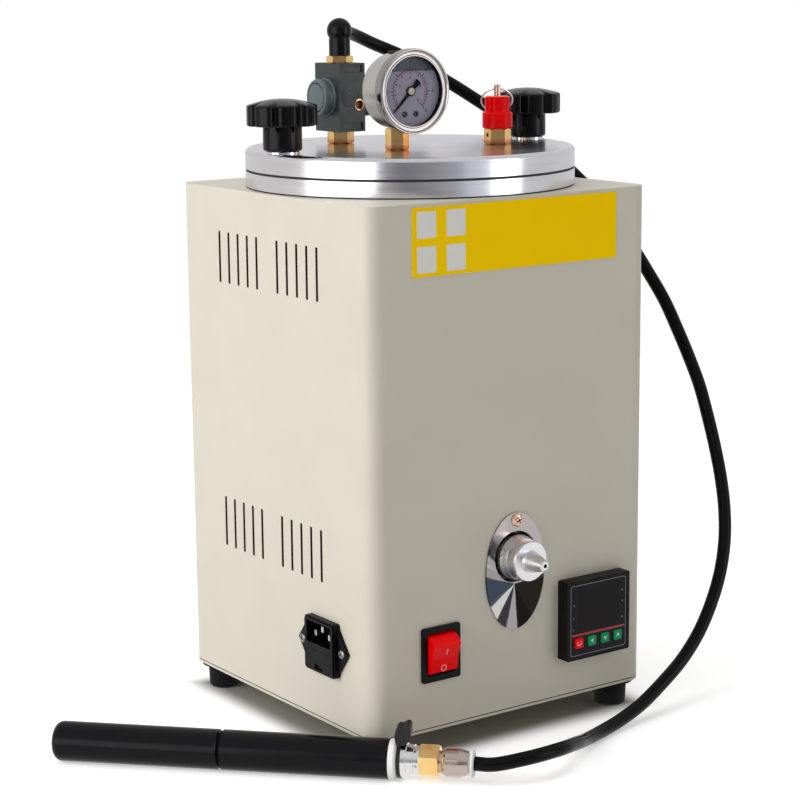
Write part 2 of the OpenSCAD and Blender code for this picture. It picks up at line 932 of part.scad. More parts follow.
module knob_left() {
  color("#151515")
    star_knob(-1);
}

module knob_right() {
  color("#151515")
    star_knob(1);
}

// ---- Regulator and elbow -------------------------------------------------

module threaded_adapter(x, y, af, h, turn) {
  translate([x, y, lid_top])
    difference() {
      union() {
        rotate([0, 0, turn])
          hex_bar(af, h);
        translate([0, 0, -lid_t + 1])
          cylinder(h = lid_t, r = port_r);
      }
      translate([0, 0, -lid_t])
        cylinder(h = lid_t + h + over, r = 2.5);
    }
}

module regulator_adapter() {
  color("#C98A33") {
    threaded_adapter(reg_x, reg_y, 14, reg_z - lid_top, -35);
    translate([reg_x, reg_y, reg_z - 0.5])
      difference() {
        cylinder(h = 6.5, r = port_r);
        translate([0, 0, -over])
          cylinder(h = 8 + over, r = 2.5);
      }
  }
}

module regulator_body() {
  color("#3B4745")
    difference() {
      union() {
        translate([reg_x - reg_w / 2 - 0.4, reg_front, reg_z])
          cube([reg_w, reg_back - reg_front, reg_h]);
        on_regulator(reg_x)
          cylinder(h = reg_w / 2 + 5, r = bonnet_r);
      }
      for (z = [reg_z - over, reg_z + reg_h - 7])
        translate([reg_x, reg_y, z])
          cylinder(h = 7 + over, r = port_r + seat);
      // stepped recesses at the top and bottom of the front face
      for (z = [reg_z + 1, reg_z + reg_h - 5.5])
        translate([reg_x - reg_w / 2 + 1.4, reg_front - over, z])
          cube([reg_w - 3.4, 1.2 + over, 4.5]);
      // the gauge port that the front face offers, with its sunk plug
      translate([reg_x + 4.6, reg_front - over, reg_axis_z - 4.5])
        rotate([-90, 0, 0])
          cylinder(h = 4 + over, r = 3.4);
    }
}

module regulator_cap() {
  color("#39403F")
    on_regulator(reg_x - reg_w / 2 - 0.4)
      mirror([0, 0, 1])
        turned([
          [0, 0], [reg_cap_r, 0], [reg_cap_r, reg_cap_len - 3.4], [reg_cap_r - 1, reg_cap_len - 1.6],
          [8.2, reg_cap_len - 1], [8, reg_cap_len], [0, reg_cap_len]
        ]);
}

bonnet_x = reg_x + reg_w / 2 + 4.6;

module regulator_bonnet() {
  color("#39403F")
    on_regulator(bonnet_x + 0.4)
      difference() {
        turned([
          [0, 0], [bonnet_r - 0.6, 0], [bonnet_r - 0.6, 3], [bonnet_r - 2, bonnet_len - 3],
          [bonnet_r - 2, bonnet_len], [0, bonnet_len]
        ]);
        translate([0, 0, 4])
          cylinder(h = bonnet_len, r = spindle_r + run);
      }
}

module regulator_knob() {
  color("#1A1B1B")
    on_regulator(bonnet_x + 0.4 + bonnet_len + free) {
      difference() {
        turned([
          [0, 0], [reg_knob_r - 1, 0], [reg_knob_r, 1], [reg_knob_r - 0.6, reg_knob_len - 2.5],
          [reg_knob_r - 2.6, reg_knob_len], [0, reg_knob_len]
        ]);
        for (i = [0:15])
          rotate([0, 0, i * 22.5])
            translate([reg_knob_r + 0.5, 0, 2.5])
              cylinder(h = reg_knob_len, r = 1.2);
      }
      translate([0, 0, -bonnet_len + 6])
        cylinder(h = bonnet_len - 5, r = spindle_r);
    }
}

module elbow_nut() {
  color("#C98A33")
    translate([reg_x, reg_y, reg_z + reg_h])
      difference() {
        union() {
          rotate([0, 0, -35])
            hex_bar(elbow_nut_af, elbow_nut_t);
          translate([0, 0, -6])
            cylinder(h = 6.5, r = port_r);
        }
        translate([0, 0, -7])
          cylinder(h = 20, r = 2.5);
      }
}

module elbow_fitting() {
  color("#1B1B1B") {
    translate([reg_x, reg_y, reg_z + reg_h + elbow_nut_t]) {
      turned([
        [0, 0], [elbow_r, 0], [elbow_r, 9], [elbow_r - 0.5, elbow_z - reg_z - reg_h - elbow_nut_t],
        [0, elbow_z - reg_z - reg_h - elbow_nut_t]
      ]);
    }
    translate([reg_x, reg_y, elbow_z])
      sphere(r = elbow_ball_r);
    translate([reg_x, reg_y, elbow_z])
      rotate([0, 0, elbow_az])
        rotate([0, 90, 0])
          turned([
            [0, 0], [elbow_arm_r, 0], [elbow_arm_r + 0.5, elbow_arm - 4],
            [elbow_arm_r + 0.5, elbow_arm - 3], [elbow_arm_r - 0.6, elbow_arm - 2.6],
            [elbow_arm_r - 0.6, elbow_arm], [0, elbow_arm]
          ]);
  }
}

// ---- Pressure gauge ------------------------------------------------------

module gauge_adapter() {
  color("#C98A33")
    threaded_adapter(gauge_x, gauge_y, 12, gauge_rise - gauge_case_r, 25);
}

module gauge_case() {
  color("#B8B0A8")
    difference() {
      union() {
        on_gauge()
          turned([
            [0, gauge_case_back], [gauge_case_r - 3, gauge_case_back],
            [gauge_case_r - 0.9, gauge_case_back + 0.9], [gauge_case_r, gauge_case_back + 3],
            [gauge_case_r, gauge_case_front], [0, gauge_case_front]
          ]);
        translate([gauge_x, gauge_y, lid_top + gauge_rise - gauge_case_r])
          cylinder(h = 3, r = gauge_boss_r);
      }
      on_gauge() {
        translate([0, 0, gauge_case_back + 2])
          cylinder(h = 40, r = gauge_case_r - 2.5);
        translate([0, 0, dial_front - dial_t])
          cylinder(h = 40, r = gauge_case_r - gauge_case_wall);
      }
      // filler hole at the top
      translate([gauge_x, -gauge_case_back - 4, gauge_z])
        cylinder(h = 40, r = 2.6);
    }
}

module gauge_bezel() {
  color("#C9C7C5")
    on_gauge()
      difference() {
        turned([
          [0, gauge_front - 6.5], [bezel_r - 1.2, gauge_front - 6.5], [bezel_r, gauge_front - 5.3],
          [bezel_r, gauge_front - 1.8], [bezel_r - 1, gauge_front - 0.4], [bezel_r - 2.4, gauge_front],
          [bezel_r - 3.4, gauge_front - 0.3], [bezel_r - 4.7, gauge_front - 1.4],
          [0, gauge_front - 1.4]
        ]);
        translate([0, 0, 0])
          cylinder(h = gauge_front + over, r = bezel_r - 4.7);
        translate([0, 0, 0])
          cylinder(h = glass_front, r = gauge_case_r + seat);
      }
}

module gauge_glass() {
  color([0.85, 0.9, 0.95, 0.3])
    on_gauge()
      translate([0, 0, glass_front - glass_t])
        cylinder(h = glass_t, r = gauge_case_r - 0.1);
}

module gauge_dial() {
  color("#A9A6C4")
    on_gauge()
      translate([0, 0, dial_front - dial_t])
        difference() {
          cylinder(h = dial_t, r = gauge_case_r - gauge_case_wall - seat);
          translate([0, 0, -over])
            cylinder(h = dial_t + 2 * over, r = needle_pin_r + run);
        }
}

module gauge_needle() {
  color("#111111")
    on_gauge()
      translate([0, 0, dial_front + 0.5]) {
        cylinder(h = 1.4, r = 2.1);
        translate([0, 0, -3])
          cylinder(h = 3.2, r = needle_pin_r);
        // the pointer rests at zero, low on the left
        rotate([0, 0, 225])
          linear_extrude(0.5)
            polygon([[-6.5, -2.2], [-4.5, -0.8], [0, -1], [13.5, -0.3], [13.5, 0.3], [0, 1],
              [-4.5, 0.8], [-6.5, 2.2]]);
      }
}

module gauge_plug() {
  color("#141414")
    translate([gauge_x, -gauge_case_back - 4, gauge_z + gauge_case_r]) {
      translate([0, 0, -2])
        cylinder(h = 2.5, r = 2.5);
      cylinder(h = 1, r = 3.6);
    }
}

// ---- Safety valve --------------------------------------------------------

valve_cap_z = lid_top + valve_hex_h;

module safety_valve_body() {
  color("#C98A33")
    difference() {
      threaded_adapter(valve_x, valve_y, 14, valve_hex_h, 25);
      translate([valve_x, valve_y, lid_top + 3])
        cylinder(h = valve_hex_h, r = 4.6);
      // relief hole through one flat
      translate([valve_x, valve_y, lid_top + 5.4])
        rotate([0, 90, 175])
          cylinder(h = 10, r = 1.2);
    }
}

module safety_valve_cap() {
  color("#E00A0A")
    translate([valve_x, valve_y, valve_cap_z])
      difference() {
        turned([
          [0, 0], [8.1, 0], [9, 0.9], [9, 9.1], [8.5, 9.6], [7.4, 9.8], [7.4, 18.4],
          [6.8, 19], [0, 19]
        ]);
        translate([0, 0, -over])
          cylinder(h = 30, r = valve_stem_r + run);
      }
}

module safety_valve_stem() {
  color("#B8742C")
    translate([valve_x, valve_y, lid_top])
      difference() {
        turned([
          [0, 3.1], [3.9, 3.1], [3.9, 4.6], [valve_stem_r, 4.6], [valve_stem_r, valve_stem_top - 0.6],
          [valve_stem_r - 0.6, valve_stem_top], [0, valve_stem_top]
        ]);
        translate([0, 0, eye_rise])
          rotate([0, 90, ring_az])
            cylinder(h = 10, r = eye_r, center = true);
      }
}

module safety_valve_ring() {
  color("#B9B6B0")
    translate([valve_x, valve_y, lid_top + eye_rise])
      rotate([0, 0, ring_az])
        rotate([-ring_drop, 0, 0])
          translate([0, ring_r, 0])
            rotate_extrude()
              translate([ring_r, 0])
                circle(r = ring_wire_r);
}

// ---- Pump and hose -------------------------------------------------------

module hose() {
  color("#141414")
    tube(hose_points, hose_d / 2, hose_sides, [0, 0, 1]);
}

module release_collar() {
  color("#E4E4E2")
    on_pump()
      translate([0, 0, run])
        difference() {
          union() {
            turned([[0, 0], [7.2, 0], [7.8, 0.7], [7.8, collar_t - 1.4], [0, collar_t - 1.4]]);
            cylinder(h = collar_t + 3, r = 5.2);
          }
        }
}

module push_in_fitting() {
  color("#B9AFA6")
    on_pump()
      difference() {
        union() {
          turned([
            [0, collar_t], [6.6, collar_t], [7, 4.4], [8.1, 8.2], [8.1, 15.6], [7, 17.4],
            [6.2, 17.8], [6.2, fitting_end], [0, fitting_end]
          ]);
          translate([0, 0, 8])
            hex_bar(14.6, 7.8);
        }
        translate([0, 0, -over])
          cylinder(h = collar_t + 4.5 + over, r = 5.2 + run);
      }
}

module pump_coupling() {
  color("#CB8E38")
    on_pump()
      translate([0, 0, fitting_end])
        hex_bar(17, coupling_end - fitting_end);
}

module pump_head() {
  color("#D7D8DA")
    on_pump()
      difference() {
        turned([
          [0, coupling_end], [8, coupling_end], [8, 33], [8.8, 33.3], [8.8, 37.2], [9.7, 37.6],
          [9.7, lever_start - 0.1], [neck_r, lever_start - 0.1],
          [neck_r, lever_end + 0.1], [10, lever_end + 0.1], [10, head_end], [0, head_end]
        ]);
        // air hole
        translate([0, 0, 31.9])
          rotate([0, 90, -95])
            translate([0, 0, 5])
              cylinder(h = 8, r = 0.9);
      }
}

module pump_end_ring() {
  color("#E8E8E6")
    on_pump()
      turned([[0, head_end], [10.6, head_end], [pump_r, head_end + 1], [pump_r, ring_end], [0, ring_end]]);
}

module pump_barrel() {
  color("#121212")
    on_pump()
      difference() {
        turned([
          [0, ring_end], [pump_r, ring_end], [pump_r, barrel_end - 1.2], [pump_r - 1.2, barrel_end],
          [0, barrel_end]
        ]);
        translate([0, 0, ring_end - over])
          cylinder(h = barrel_end - ring_end - guide_t + over, r = pump_r - barrel_wall);
        translate([0, 0, ring_end])
          cylinder(h = 200, r = rod_r + run);
      }
}

module pump_handle() {
  color("#121212")
    on_pump()
      difference() {
        turned(concat(
          [[0, handle_start], [pump_r - 1.2, handle_start], [pump_r, handle_start + 1.2]],
          [for (a = [0:15:90]) [pump_r - 5 + 5 * cos(a), handle_end - 5 + 5 * sin(a)]],
          [[0, handle_end]]
        ));
        translate([0, 0, handle_start - over])
          cylinder(h = rod_end - handle_start + over + seat, r = rod_r + seat);
      }
}

module pump_rod() {
  color("#9C9EA1")
    on_pump() {
      translate([0, 0, piston_start])
        cylinder(h = rod_end - piston_start, r = rod_r);
      translate([0, 0, piston_start])
        cylinder(h = piston_t, r = pump_r - barrel_wall - run);
    }
}

module pump_lever() {
  lever_t = lever_end - lever_start;
  lever_lean = 12;
  color("#1E1C1C")
    on_pump()
      translate([0, 0, lever_start])
        difference() {
          union() {
            cylinder(h = lever_t, r = 10.2);
            // thumb paddle: wider along the pump than the collar, with a hump at one end
            rotate([90, 0, -lever_lean])
              linear_extrude(6.5, center = true)
                polygon([
                  [8, lever_t - 0.3], [11.9, lever_t - 0.3], [12.8, 2.9], [17, 3.2], [20.8, 2.2], [22.3, 0.6],
                  [22.2, -1.5], [23.2, -2.8], [24, -4.2], [23.6, -5.5], [22, -6.1], [17, -6],
                  [13, -4.4], [11, -2.2], [10.8, 0.3], [8, 0.3]
                ]);
          }
          translate([0, 0, -over])
            cylinder(h = lever_t + 2 * over, r = neck_r + run);
        }
}

housing_shell();
base_plate();
feet();
wax_pot();
flange_gasket();
lid_gasket();
heater_band();
temperature_sensor();
valve_block();
nozzle_escutcheon();
escutcheon_screw();
nozzle();
nozzle_spring();
switch_bezel();
switch_rocker();
controller_case();
controller_faceplate();
set_button();
shift_button();
down_button();
up_button();
front_label();
power_inlet();
inlet_pins();
inlet_screws();
fuse_drawer();
lid();
lid_studs();
washer_left();
washer_right();
knob_left();
knob_right();
regulator_body();
regulator_cap();
regulator_bonnet();
regulator_knob();
regulator_adapter();
elbow_nut();
elbow_fitting();
gauge_case();
gauge_bezel();
gauge_glass();
gauge_dial();
gauge_needle();
gauge_plug();
gauge_adapter();
safety_valve_body();
safety_valve_cap();
safety_valve_stem();
safety_valve_ring();
hose();
pump_barrel();
pump_handle();
pump_rod();
pump_end_ring();
pump_head();
pump_lever();
pump_coupling();
push_in_fitting();
release_collar();
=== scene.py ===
"""Jewelry wax injector: camera, light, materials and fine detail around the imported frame.

Lengths in this file are in millimetres until MM turns them into metres.
The front of the case faces -Y, its left side faces -X, and the floor is z = 0.
"""
import math

import bmesh
import bpy
import numpy as np
from mathutils import Matrix, Vector


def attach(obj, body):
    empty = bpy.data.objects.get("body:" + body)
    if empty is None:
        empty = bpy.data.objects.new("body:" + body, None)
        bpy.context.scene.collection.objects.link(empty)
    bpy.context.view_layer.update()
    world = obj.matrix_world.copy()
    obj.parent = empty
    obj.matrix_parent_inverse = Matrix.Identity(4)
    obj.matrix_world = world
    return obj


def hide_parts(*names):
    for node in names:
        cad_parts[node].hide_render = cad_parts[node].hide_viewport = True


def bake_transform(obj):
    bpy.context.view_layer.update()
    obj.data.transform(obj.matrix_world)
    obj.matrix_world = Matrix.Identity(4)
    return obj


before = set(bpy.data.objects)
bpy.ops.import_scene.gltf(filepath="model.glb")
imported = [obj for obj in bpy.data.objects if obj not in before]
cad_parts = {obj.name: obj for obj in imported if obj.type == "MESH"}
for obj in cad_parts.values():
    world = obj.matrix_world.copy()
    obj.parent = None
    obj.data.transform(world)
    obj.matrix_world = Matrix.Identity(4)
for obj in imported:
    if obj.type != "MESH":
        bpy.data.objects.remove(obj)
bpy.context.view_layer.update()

MM = 0.001

# ---------------------------------------------------------------- camera
LENS, SENSOR = 97.13, 36.0
CAMERA_AZIMUTH, CAMERA_PITCH, CAMERA_ROLL = -35.311, 10.95, -0.545
CAMERA_PLACE = (-0.74806, -1.0435, 0.43344)


def make_camera():
    a, p, r = (math.radians(v) for v in (CAMERA_AZIMUTH, CAMERA_PITCH, CAMERA_ROLL))
    ahead = Vector((-math.sin(a) * math.cos(p), math.cos(a) * math.cos(p), -math.sin(p)))
    level = Vector((math.cos(a), math.sin(a), 0))
    above = level.cross(ahead)
    right = math.cos(r) * level + math.sin(r) * above
    up = -math.sin(r) * level + math.cos(r) * above
    data = bpy.data.cameras.new("camera")
    data.lens, data.sensor_width = LENS, SENSOR
    data.clip_start, data.clip_end = 0.05, 50
    camera = bpy.data.objects.new("camera", data)
    bpy.context.scene.collection.objects.link(camera)
    turn = Matrix((right, up, -ahead)).transposed().to_4x4()
    camera.matrix_world = Matrix.Translation(CAMERA_PLACE) @ turn
    bpy.context.scene.camera = camera


make_camera()
bpy.context.scene.view_settings.view_transform = "Standard"


# ---------------------------------------------------------------- node helpers
class Nodes:
    """A small wrapper that adds and links shader nodes."""

    def __init__(self, tree):
        self.tree = tree

    def add(self, kind, inputs=None, **settings):
        node = self.tree.nodes.new(kind)
        for key, value in settings.items():
            setattr(node, key, value)
        for key, value in (inputs or {}).items():
            self.put(node.inputs[key], value)
        return node

    def put(self, socket, value):
        if isinstance(value, bpy.types.NodeSocket):
            self.tree.links.new(value, socket)
        else:
            socket.default_value = value

    def math(self, operation, a, b=0.0):
        node = self.add("ShaderNodeMath", operation=operation)
        self.put(node.inputs[0], a)
        self.put(node.inputs[1], b)
        return node.outputs[0]

    def place(self):
        """The point being shaded, in the object's own axes and in metres."""
        return self.add("ShaderNodeTexCoord").outputs["Object"]

    def parts(self, vector):
        """The X, Y and Z sockets of a vector."""
        return self.add("ShaderNodeSeparateXYZ", {0: vector}).outputs

    def scaled(self, scale):
        return self.add("ShaderNodeMapping", {"Vector": self.place(), "Scale": scale}).outputs[0]

    def noise(self, scale, detail=3.0, where=None):
        """A cloudy value; scale is in waves per metre."""
        settings = {"Vector": where or self.place(), "Scale": scale, "Detail": detail}
        return self.add("ShaderNodeTexNoise", settings).outputs["Fac"]

    def spread(self, value, low, high, start=0.3, end=0.7):
        """Low to high as the value goes from start to end. Noise stays mostly in 0.3 to 0.7."""
        node = self.add(
            "ShaderNodeMapRange",
            {"Value": value, "From Min": start, "From Max": end, "To Min": low, "To Max": high},
        )
        return node.outputs[0]

    def mix(self, share, a, b):
        node = self.add("ShaderNodeMix", data_type="RGBA")
        self.put(node.inputs[0], share)
        self.put(node.inputs[6], (*a, 1) if isinstance(a, tuple) else a)
        self.put(node.inputs[7], (*b, 1) if isinstance(b, tuple) else b)
        return node.outputs[2]

    def ramp(self, value, stops):
        node = self.add("ShaderNodeValToRGB", {"Fac": value})
        band = node.color_ramp
        while len(band.elements) < len(stops):
            band.elements.new(0.5)
        for element, (place, colour) in zip(band.elements, stops):
            element.position = place
            element.color = (*colour, 1)
        return node.outputs["Color"]

    def bump(self, height, strength, distance):
        settings = {"Height": height, "Strength": strength, "Distance": distance}
        return self.add("ShaderNodeBump", settings).outputs[0]


def shade(colour, factor):
    return tuple(min(1.0, c * factor) for c in colour)


def surface(name, colour, rough, metal=0.0, spread=0.05, rough_spread=0.06, grain=900, relief=0.1,
            depth=0.00005, mottle=25, extra=None, **sockets):
    """A finish whose colour, gloss and relief all vary a little over the surface.

    extra(n, shader, cloud), if given, changes the finish further.
    """
    material = bpy.data.materials.new("injector_" + name)
    material.use_nodes = True
    n = Nodes(material.node_tree)
    shader = material.node_tree.nodes["Principled BSDF"]
    cloud = n.noise(mottle)
    fine = n.noise(grain, 2.0)
    patches = n.spread(cloud, 0, 1)
    n.put(shader.inputs["Base Color"], n.mix(patches, shade(colour, 1 - spread), shade(colour, 1 + spread)))
    gloss = n.spread(n.noise(mottle * 4), rough - rough_spread, rough + rough_spread)
    n.put(shader.inputs["Roughness"], gloss)
    n.put(shader.inputs["Normal"], n.bump(fine, relief, depth))
    shader.inputs["Metallic"].default_value = metal
    for key, value in sockets.items():
        shader.inputs[key.replace("_", " ")].default_value = value
    if extra:
        extra(n, shader, cloud)
    return material


def powder(n, shader, cloud):
    """Baked enamel: fine orange peel and faint specks."""
    peel = n.noise(620, 2.0)
    n.put(shader.inputs["Normal"], n.bump(peel, 0.16, 0.00012))
    specks = n.spread(n.noise(1500, 1.0), 0, 1, 0.66, 0.8)
    base = n.mix(n.spread(cloud, 0, 1), shade(ENAMEL, 0.975), shade(ENAMEL, 1.02))
    n.put(shader.inputs["Base Color"], n.mix(n.math("MULTIPLY", specks, 0.25), base, shade(ENAMEL, 0.8)))


def turned(n, shader, cloud):
    """Lathe marks: rings round the Z axis on top, and fine bands on the rim."""
    round_z = {"Vector": n.place(), "Scale": 130.0, "Distortion": 0.6, "Detail": 2.0, "Detail Scale": 4.0}
    rings = n.add("ShaderNodeTexWave", round_z, wave_type="RINGS", rings_direction="Z")
    along_z = {"Vector": n.place(), "Scale": 420.0, "Distortion": 0.8, "Detail": 1.0}
    bands = n.add("ShaderNodeTexWave", along_z, wave_type="BANDS", bands_direction="Z")
    both = n.math("ADD", rings.outputs["Fac"], bands.outputs["Fac"])
    n.put(shader.inputs["Normal"], n.bump(both, 0.06, 0.00002))
    streaks = n.noise(30, 3.0, n.scaled((1, 1, 10)))
    n.put(shader.inputs["Roughness"], n.spread(streaks, 0.17, 0.23))
    share = n.spread(streaks, 0, 1)
    n.put(shader.inputs["Base Color"], n.mix(share, (0.72, 0.71, 0.73), (0.78, 0.77, 0.79)))


# a reddish painted shade round each fitting's foot: its middle, 0.8 mm above the lid, and its reach each way
FOOT_SHADE_Z, FOOT_SHADE_REACH = 339.4, 2.6


def brassy(n, shader, cloud):
    """Machined brass with redder patches, and a reddish painted shade in a band just above the lid."""
    tarnish = n.spread(n.noise(160, 3.0), 0, 0.55, 0.52, 0.72)
    bright = n.mix(n.spread(cloud, 0, 1), (1.0, 0.60, 0.20), (1.0, 0.72, 0.33))
    level = n.parts(n.place())["Z"]
    from_band = n.math("ABSOLUTE", n.math("SUBTRACT", level, FOOT_SHADE_Z * MM))
    # painted shade: the brass turns a darker red in the band at each fitting's foot
    foot = n.spread(from_band, 0.85, 0, 0.0, FOOT_SHADE_REACH * MM)
    aged = n.mix(tarnish, bright, (0.80, 0.34, 0.11))
    n.put(shader.inputs["Base Color"], n.mix(foot, aged, (0.62, 0.17, 0.05)))
    along_z = {"Vector": n.place(), "Scale": 500.0, "Distortion": 1.0}
    lines = n.add("ShaderNodeTexWave", along_z, wave_type="BANDS", bands_direction="Z")
    n.put(shader.inputs["Normal"], n.bump(lines.outputs["Fac"], 0.08, 0.00002))


def cast(n, shader, cloud):
    """Thick paint over a die casting."""
    lumps = n.math("ADD", n.noise(350, 3.0), n.math("MULTIPLY", n.noise(90, 2.0), 1.4))
    n.put(shader.inputs["Normal"], n.bump(lumps, 0.22, 0.00014))


def brushed(axis_scale):
    """Fine brush lines, packed along the axis with the largest scale."""
    def build(n, shader, cloud):
        streaks = n.noise(90, 4.0, n.scaled(axis_scale))
        n.put(shader.inputs["Normal"], n.bump(streaks, 0.1, 0.00003))
        n.put(shader.inputs["Roughness"], n.spread(streaks, 0.2, 0.34))
    return build


ENAMEL = (0.56, 0.525, 0.44)
MATERIALS = {
    "case_enamel": surface("case_enamel", ENAMEL, 0.42, extra=powder, rough_spread=0.03),
    "foot_rubber": surface("foot_rubber", (0.005, 0.005, 0.005), 0.6, grain=1400, relief=0.3,
                           depth=0.0001, Specular_IOR_Level=0.1),
    "turned_aluminium": surface("turned_aluminium", (0.75, 0.74, 0.76), 0.2, 1.0, extra=turned),
    "gasket_rubber": surface("gasket_rubber", (0.012, 0.011, 0.011), 0.7, relief=0.3),
    "heater_steel": surface("heater_steel", (0.45, 0.44, 0.43), 0.4, 1.0),
    "plain_steel": surface("plain_steel", (0.62, 0.61, 0.60), 0.3, 1.0),
    "polished_steel": surface("polished_steel", (0.80, 0.79, 0.79), 0.08, 1.0, spread=0.02,
                              rough_spread=0.03, grain=120, relief=0.05, depth=0.00006),
    "nozzle_steel": surface("nozzle_steel", (0.74, 0.74, 0.75), 0.27, 1.0, spread=0.04, grain=700,
                            relief=0.12),
    "bronze_screw": surface("bronze_screw", (0.78, 0.52, 0.38), 0.22, 1.0, spread=0.1, mottle=300),
    "panel_plastic": surface("panel_plastic", (0.0035, 0.0032, 0.0035), 0.42, grain=1800, relief=0.25,
                             Specular_IOR_Level=0.12),
    "panel_gloss": surface("panel_gloss", (0.008, 0.007, 0.009), 0.16, relief=0.03, Specular_IOR_Level=0.12),
    "red_plastic": surface("red_plastic", (0.90, 0.0, 0.002), 0.22, relief=0.05, Specular_IOR_Level=0.12),
    "green_plastic": surface("green_plastic", (0.0, 0.26, 0.10), 0.38, relief=0.1, Specular_IOR_Level=0.2),
    "yellow_label": surface("yellow_label", (1.0, 0.64, 0.0), 0.42, spread=0.01, relief=0.04,
                            Specular_IOR_Level=0.03),
    "knob_plastic": surface("knob_plastic", (0.003, 0.003, 0.0035), 0.18, relief=0.05, mottle=60,
                            Specular_IOR_Level=0.17),
    "regulator_paint": surface("regulator_paint", (0.022, 0.030, 0.030), 0.38, extra=cast, spread=0.1,
                               Specular_IOR_Level=0.4),
    "brass": surface("brass", (0.9, 0.62, 0.27), 0.2, 1.0, extra=brassy),
    "satin_steel": surface("satin_steel", (0.62, 0.585, 0.56), 0.3, 1.0, extra=brushed((1, 14, 1))),
    "clear_glass": surface("clear_glass", (0.02, 0.02, 0.03), 0.03, spread=0.0, rough_spread=0.0,
                           relief=0.0, Alpha=0.08, Specular_IOR_Level=0.15),
    "dial_paint": surface("dial_paint", (0.50, 0.485, 0.60), 0.55, spread=0.02, Specular_IOR_Level=0.1),
    "needle_paint": surface("needle_paint", (0.003, 0.003, 0.003), 0.5, Specular_IOR_Level=0.05),
    "hose_plastic": surface("hose_plastic", (0.003, 0.003, 0.003), 0.22, relief=0.05, grain=300, mottle=40,
                            Specular_IOR_Level=0.1),
    "pump_gloss": surface("pump_gloss", (0.004, 0.004, 0.005), 0.16, relief=0.04, grain=200, mottle=30,
                          Specular_IOR_Level=0.14),
    "white_plastic": surface("white_plastic", (0.80, 0.80, 0.78), 0.4, spread=0.02),
    "lever_rubber": surface("lever_rubber", (0.012, 0.011, 0.011), 0.45, relief=0.2, Specular_IOR_Level=0.3),
    "nickel": surface("nickel", (0.56, 0.47, 0.42), 0.16, 1.0, spread=0.04, relief=0.06),
}
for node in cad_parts.values():
    for index, old in enumerate(node.data.materials):
        node.data.materials[index] = MATERIALS[old.name.split(".")[0]]


FAN_CENTRE = (-0.9, 92.7)
# painted reflection sectors of the polished oval plate: where each starts, in degrees, and its colour
REFLECTION_SECTORS = [
    (0.0, (0.040, 0.036, 0.032)), (6.0, (0.46, 0.42, 0.41)), (98.0, (0.50, 0.46, 0.45)),
    (118.0, (0.24, 0.225, 0.215)), (127.0, (0.09, 0.085, 0.085)), (133.0, (0.50, 0.48, 0.47)),
    (146.0, (0.34, 0.31, 0.295)), (161.0, (0.050, 0.064, 0.092)), (204.0, (0.080, 0.086, 0.11)),
    (212.5, (0.60, 0.60, 0.58)), (236.0, (0.045, 0.038, 0.046)), (256.0, (0.36, 0.34, 0.35)),
    (274.0, (0.012, 0.010, 0.008)), (300.0, (0.020, 0.016, 0.014)),
]
# half the width of the change from one sector to the next, as a share of a turn
FAN_BLUR = 0.002


def painted_reflections(n, shader, cloud):
    """Painted reflections: sectors of colour on a hand-polished plate that meet at one point, standing in for
    what the plate mirrors.
    """
    place = n.parts(n.place())
    across = n.math("ADD", place["X"], -FAN_CENTRE[0] * MM)
    up = n.math("ADD", place["Z"], -FAN_CENTRE[1] * MM)
    angle = n.math("ADD", n.math("ARCTAN2", up, across), n.spread(n.noise(90, 2.0), -0.03, 0.03))
    share = n.math("FRACT", n.math("ADD", n.math("DIVIDE", angle, 2 * math.pi), 1.0))
    stops = [(0.0, REFLECTION_SECTORS[0][1])]
    for (_, before), (start, colour) in zip(REFLECTION_SECTORS, REFLECTION_SECTORS[1:]):
        stops += [(start / 360 - FAN_BLUR, before), (start / 360 + FAN_BLUR, colour)]
    stops.append((1.0, REFLECTION_SECTORS[-1][1]))
    n.put(shader.inputs["Base Color"], n.ramp(share, stops))


REFLECTION_PLATE = surface("reflection_fan_plate", (0.3, 0.3, 0.3), 0.16, 1.0, relief=0.02, extra=painted_reflections)
GAUGE_RIM = surface("gauge_rim", (0.36, 0.335, 0.325), 0.13, 1.0, spread=0.04, relief=0.04, grain=300)
CAP_PAINT = surface("cap_paint", (0.085, 0.11, 0.108), 0.4, extra=cast, spread=0.08, Specular_IOR_Level=0.4)
INLET_SCREW = surface("inlet_screw", (0.30, 0.29, 0.28), 0.25, 1.0, spread=0.1, mottle=300)
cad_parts["nozzle_escutcheon"].data.materials[0] = REFLECTION_PLATE
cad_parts["inlet_screws"].data.materials[0] = INLET_SCREW


def painted(name, colour, rough=0.5, **sockets):
    """A print or paint that has no slot of its own in the record."""
    return surface(name, colour, rough, spread=0.03, relief=0.03, **sockets)


INK_BLACK = painted("ink_black", (0.015, 0.012, 0.03), Specular_IOR_Level=0.05)
INK_BLUE = painted("ink_blue", (0.01, 0.02, 0.16), Specular_IOR_Level=0.05)
INK_RED = painted("ink_red", (0.28, 0.01, 0.075), Specular_IOR_Level=0.05)
INK_GREY = painted("ink_grey", (0.16, 0.16, 0.17))
STRIPE_RED = painted("stripe_red", (0.35, 0.006, 0.012), 0.35)
ARROW_GREEN = painted("arrow_green", (0.42, 0.80, 0.62))
MARK_PINK = painted("mark_pink", (0.85, 0.42, 0.42))
PALE_PANEL = painted("pale_panel", (0.70, 0.69, 0.64), 0.4)
IVORY = painted("ivory", (0.78, 0.76, 0.62), 0.35)
AIR_SPACE_SHADE = painted("dial_air", (0.090, 0.098, 0.125), 0.5)
MENISCUS_HIGHLIGHT = painted("dial_line", (0.34, 0.33, 0.42), 0.5)
DIAL_SCREW = surface("dial_screw", (0.055, 0.060, 0.058), 0.4, 0.3)
# painted shade: a near-black finish laid where shade falls in slots, grooves, gaps and recesses
RECESS_SHADE = painted("recess_shade", (0.003, 0.003, 0.003), 0.9, Specular_IOR_Level=0.05)
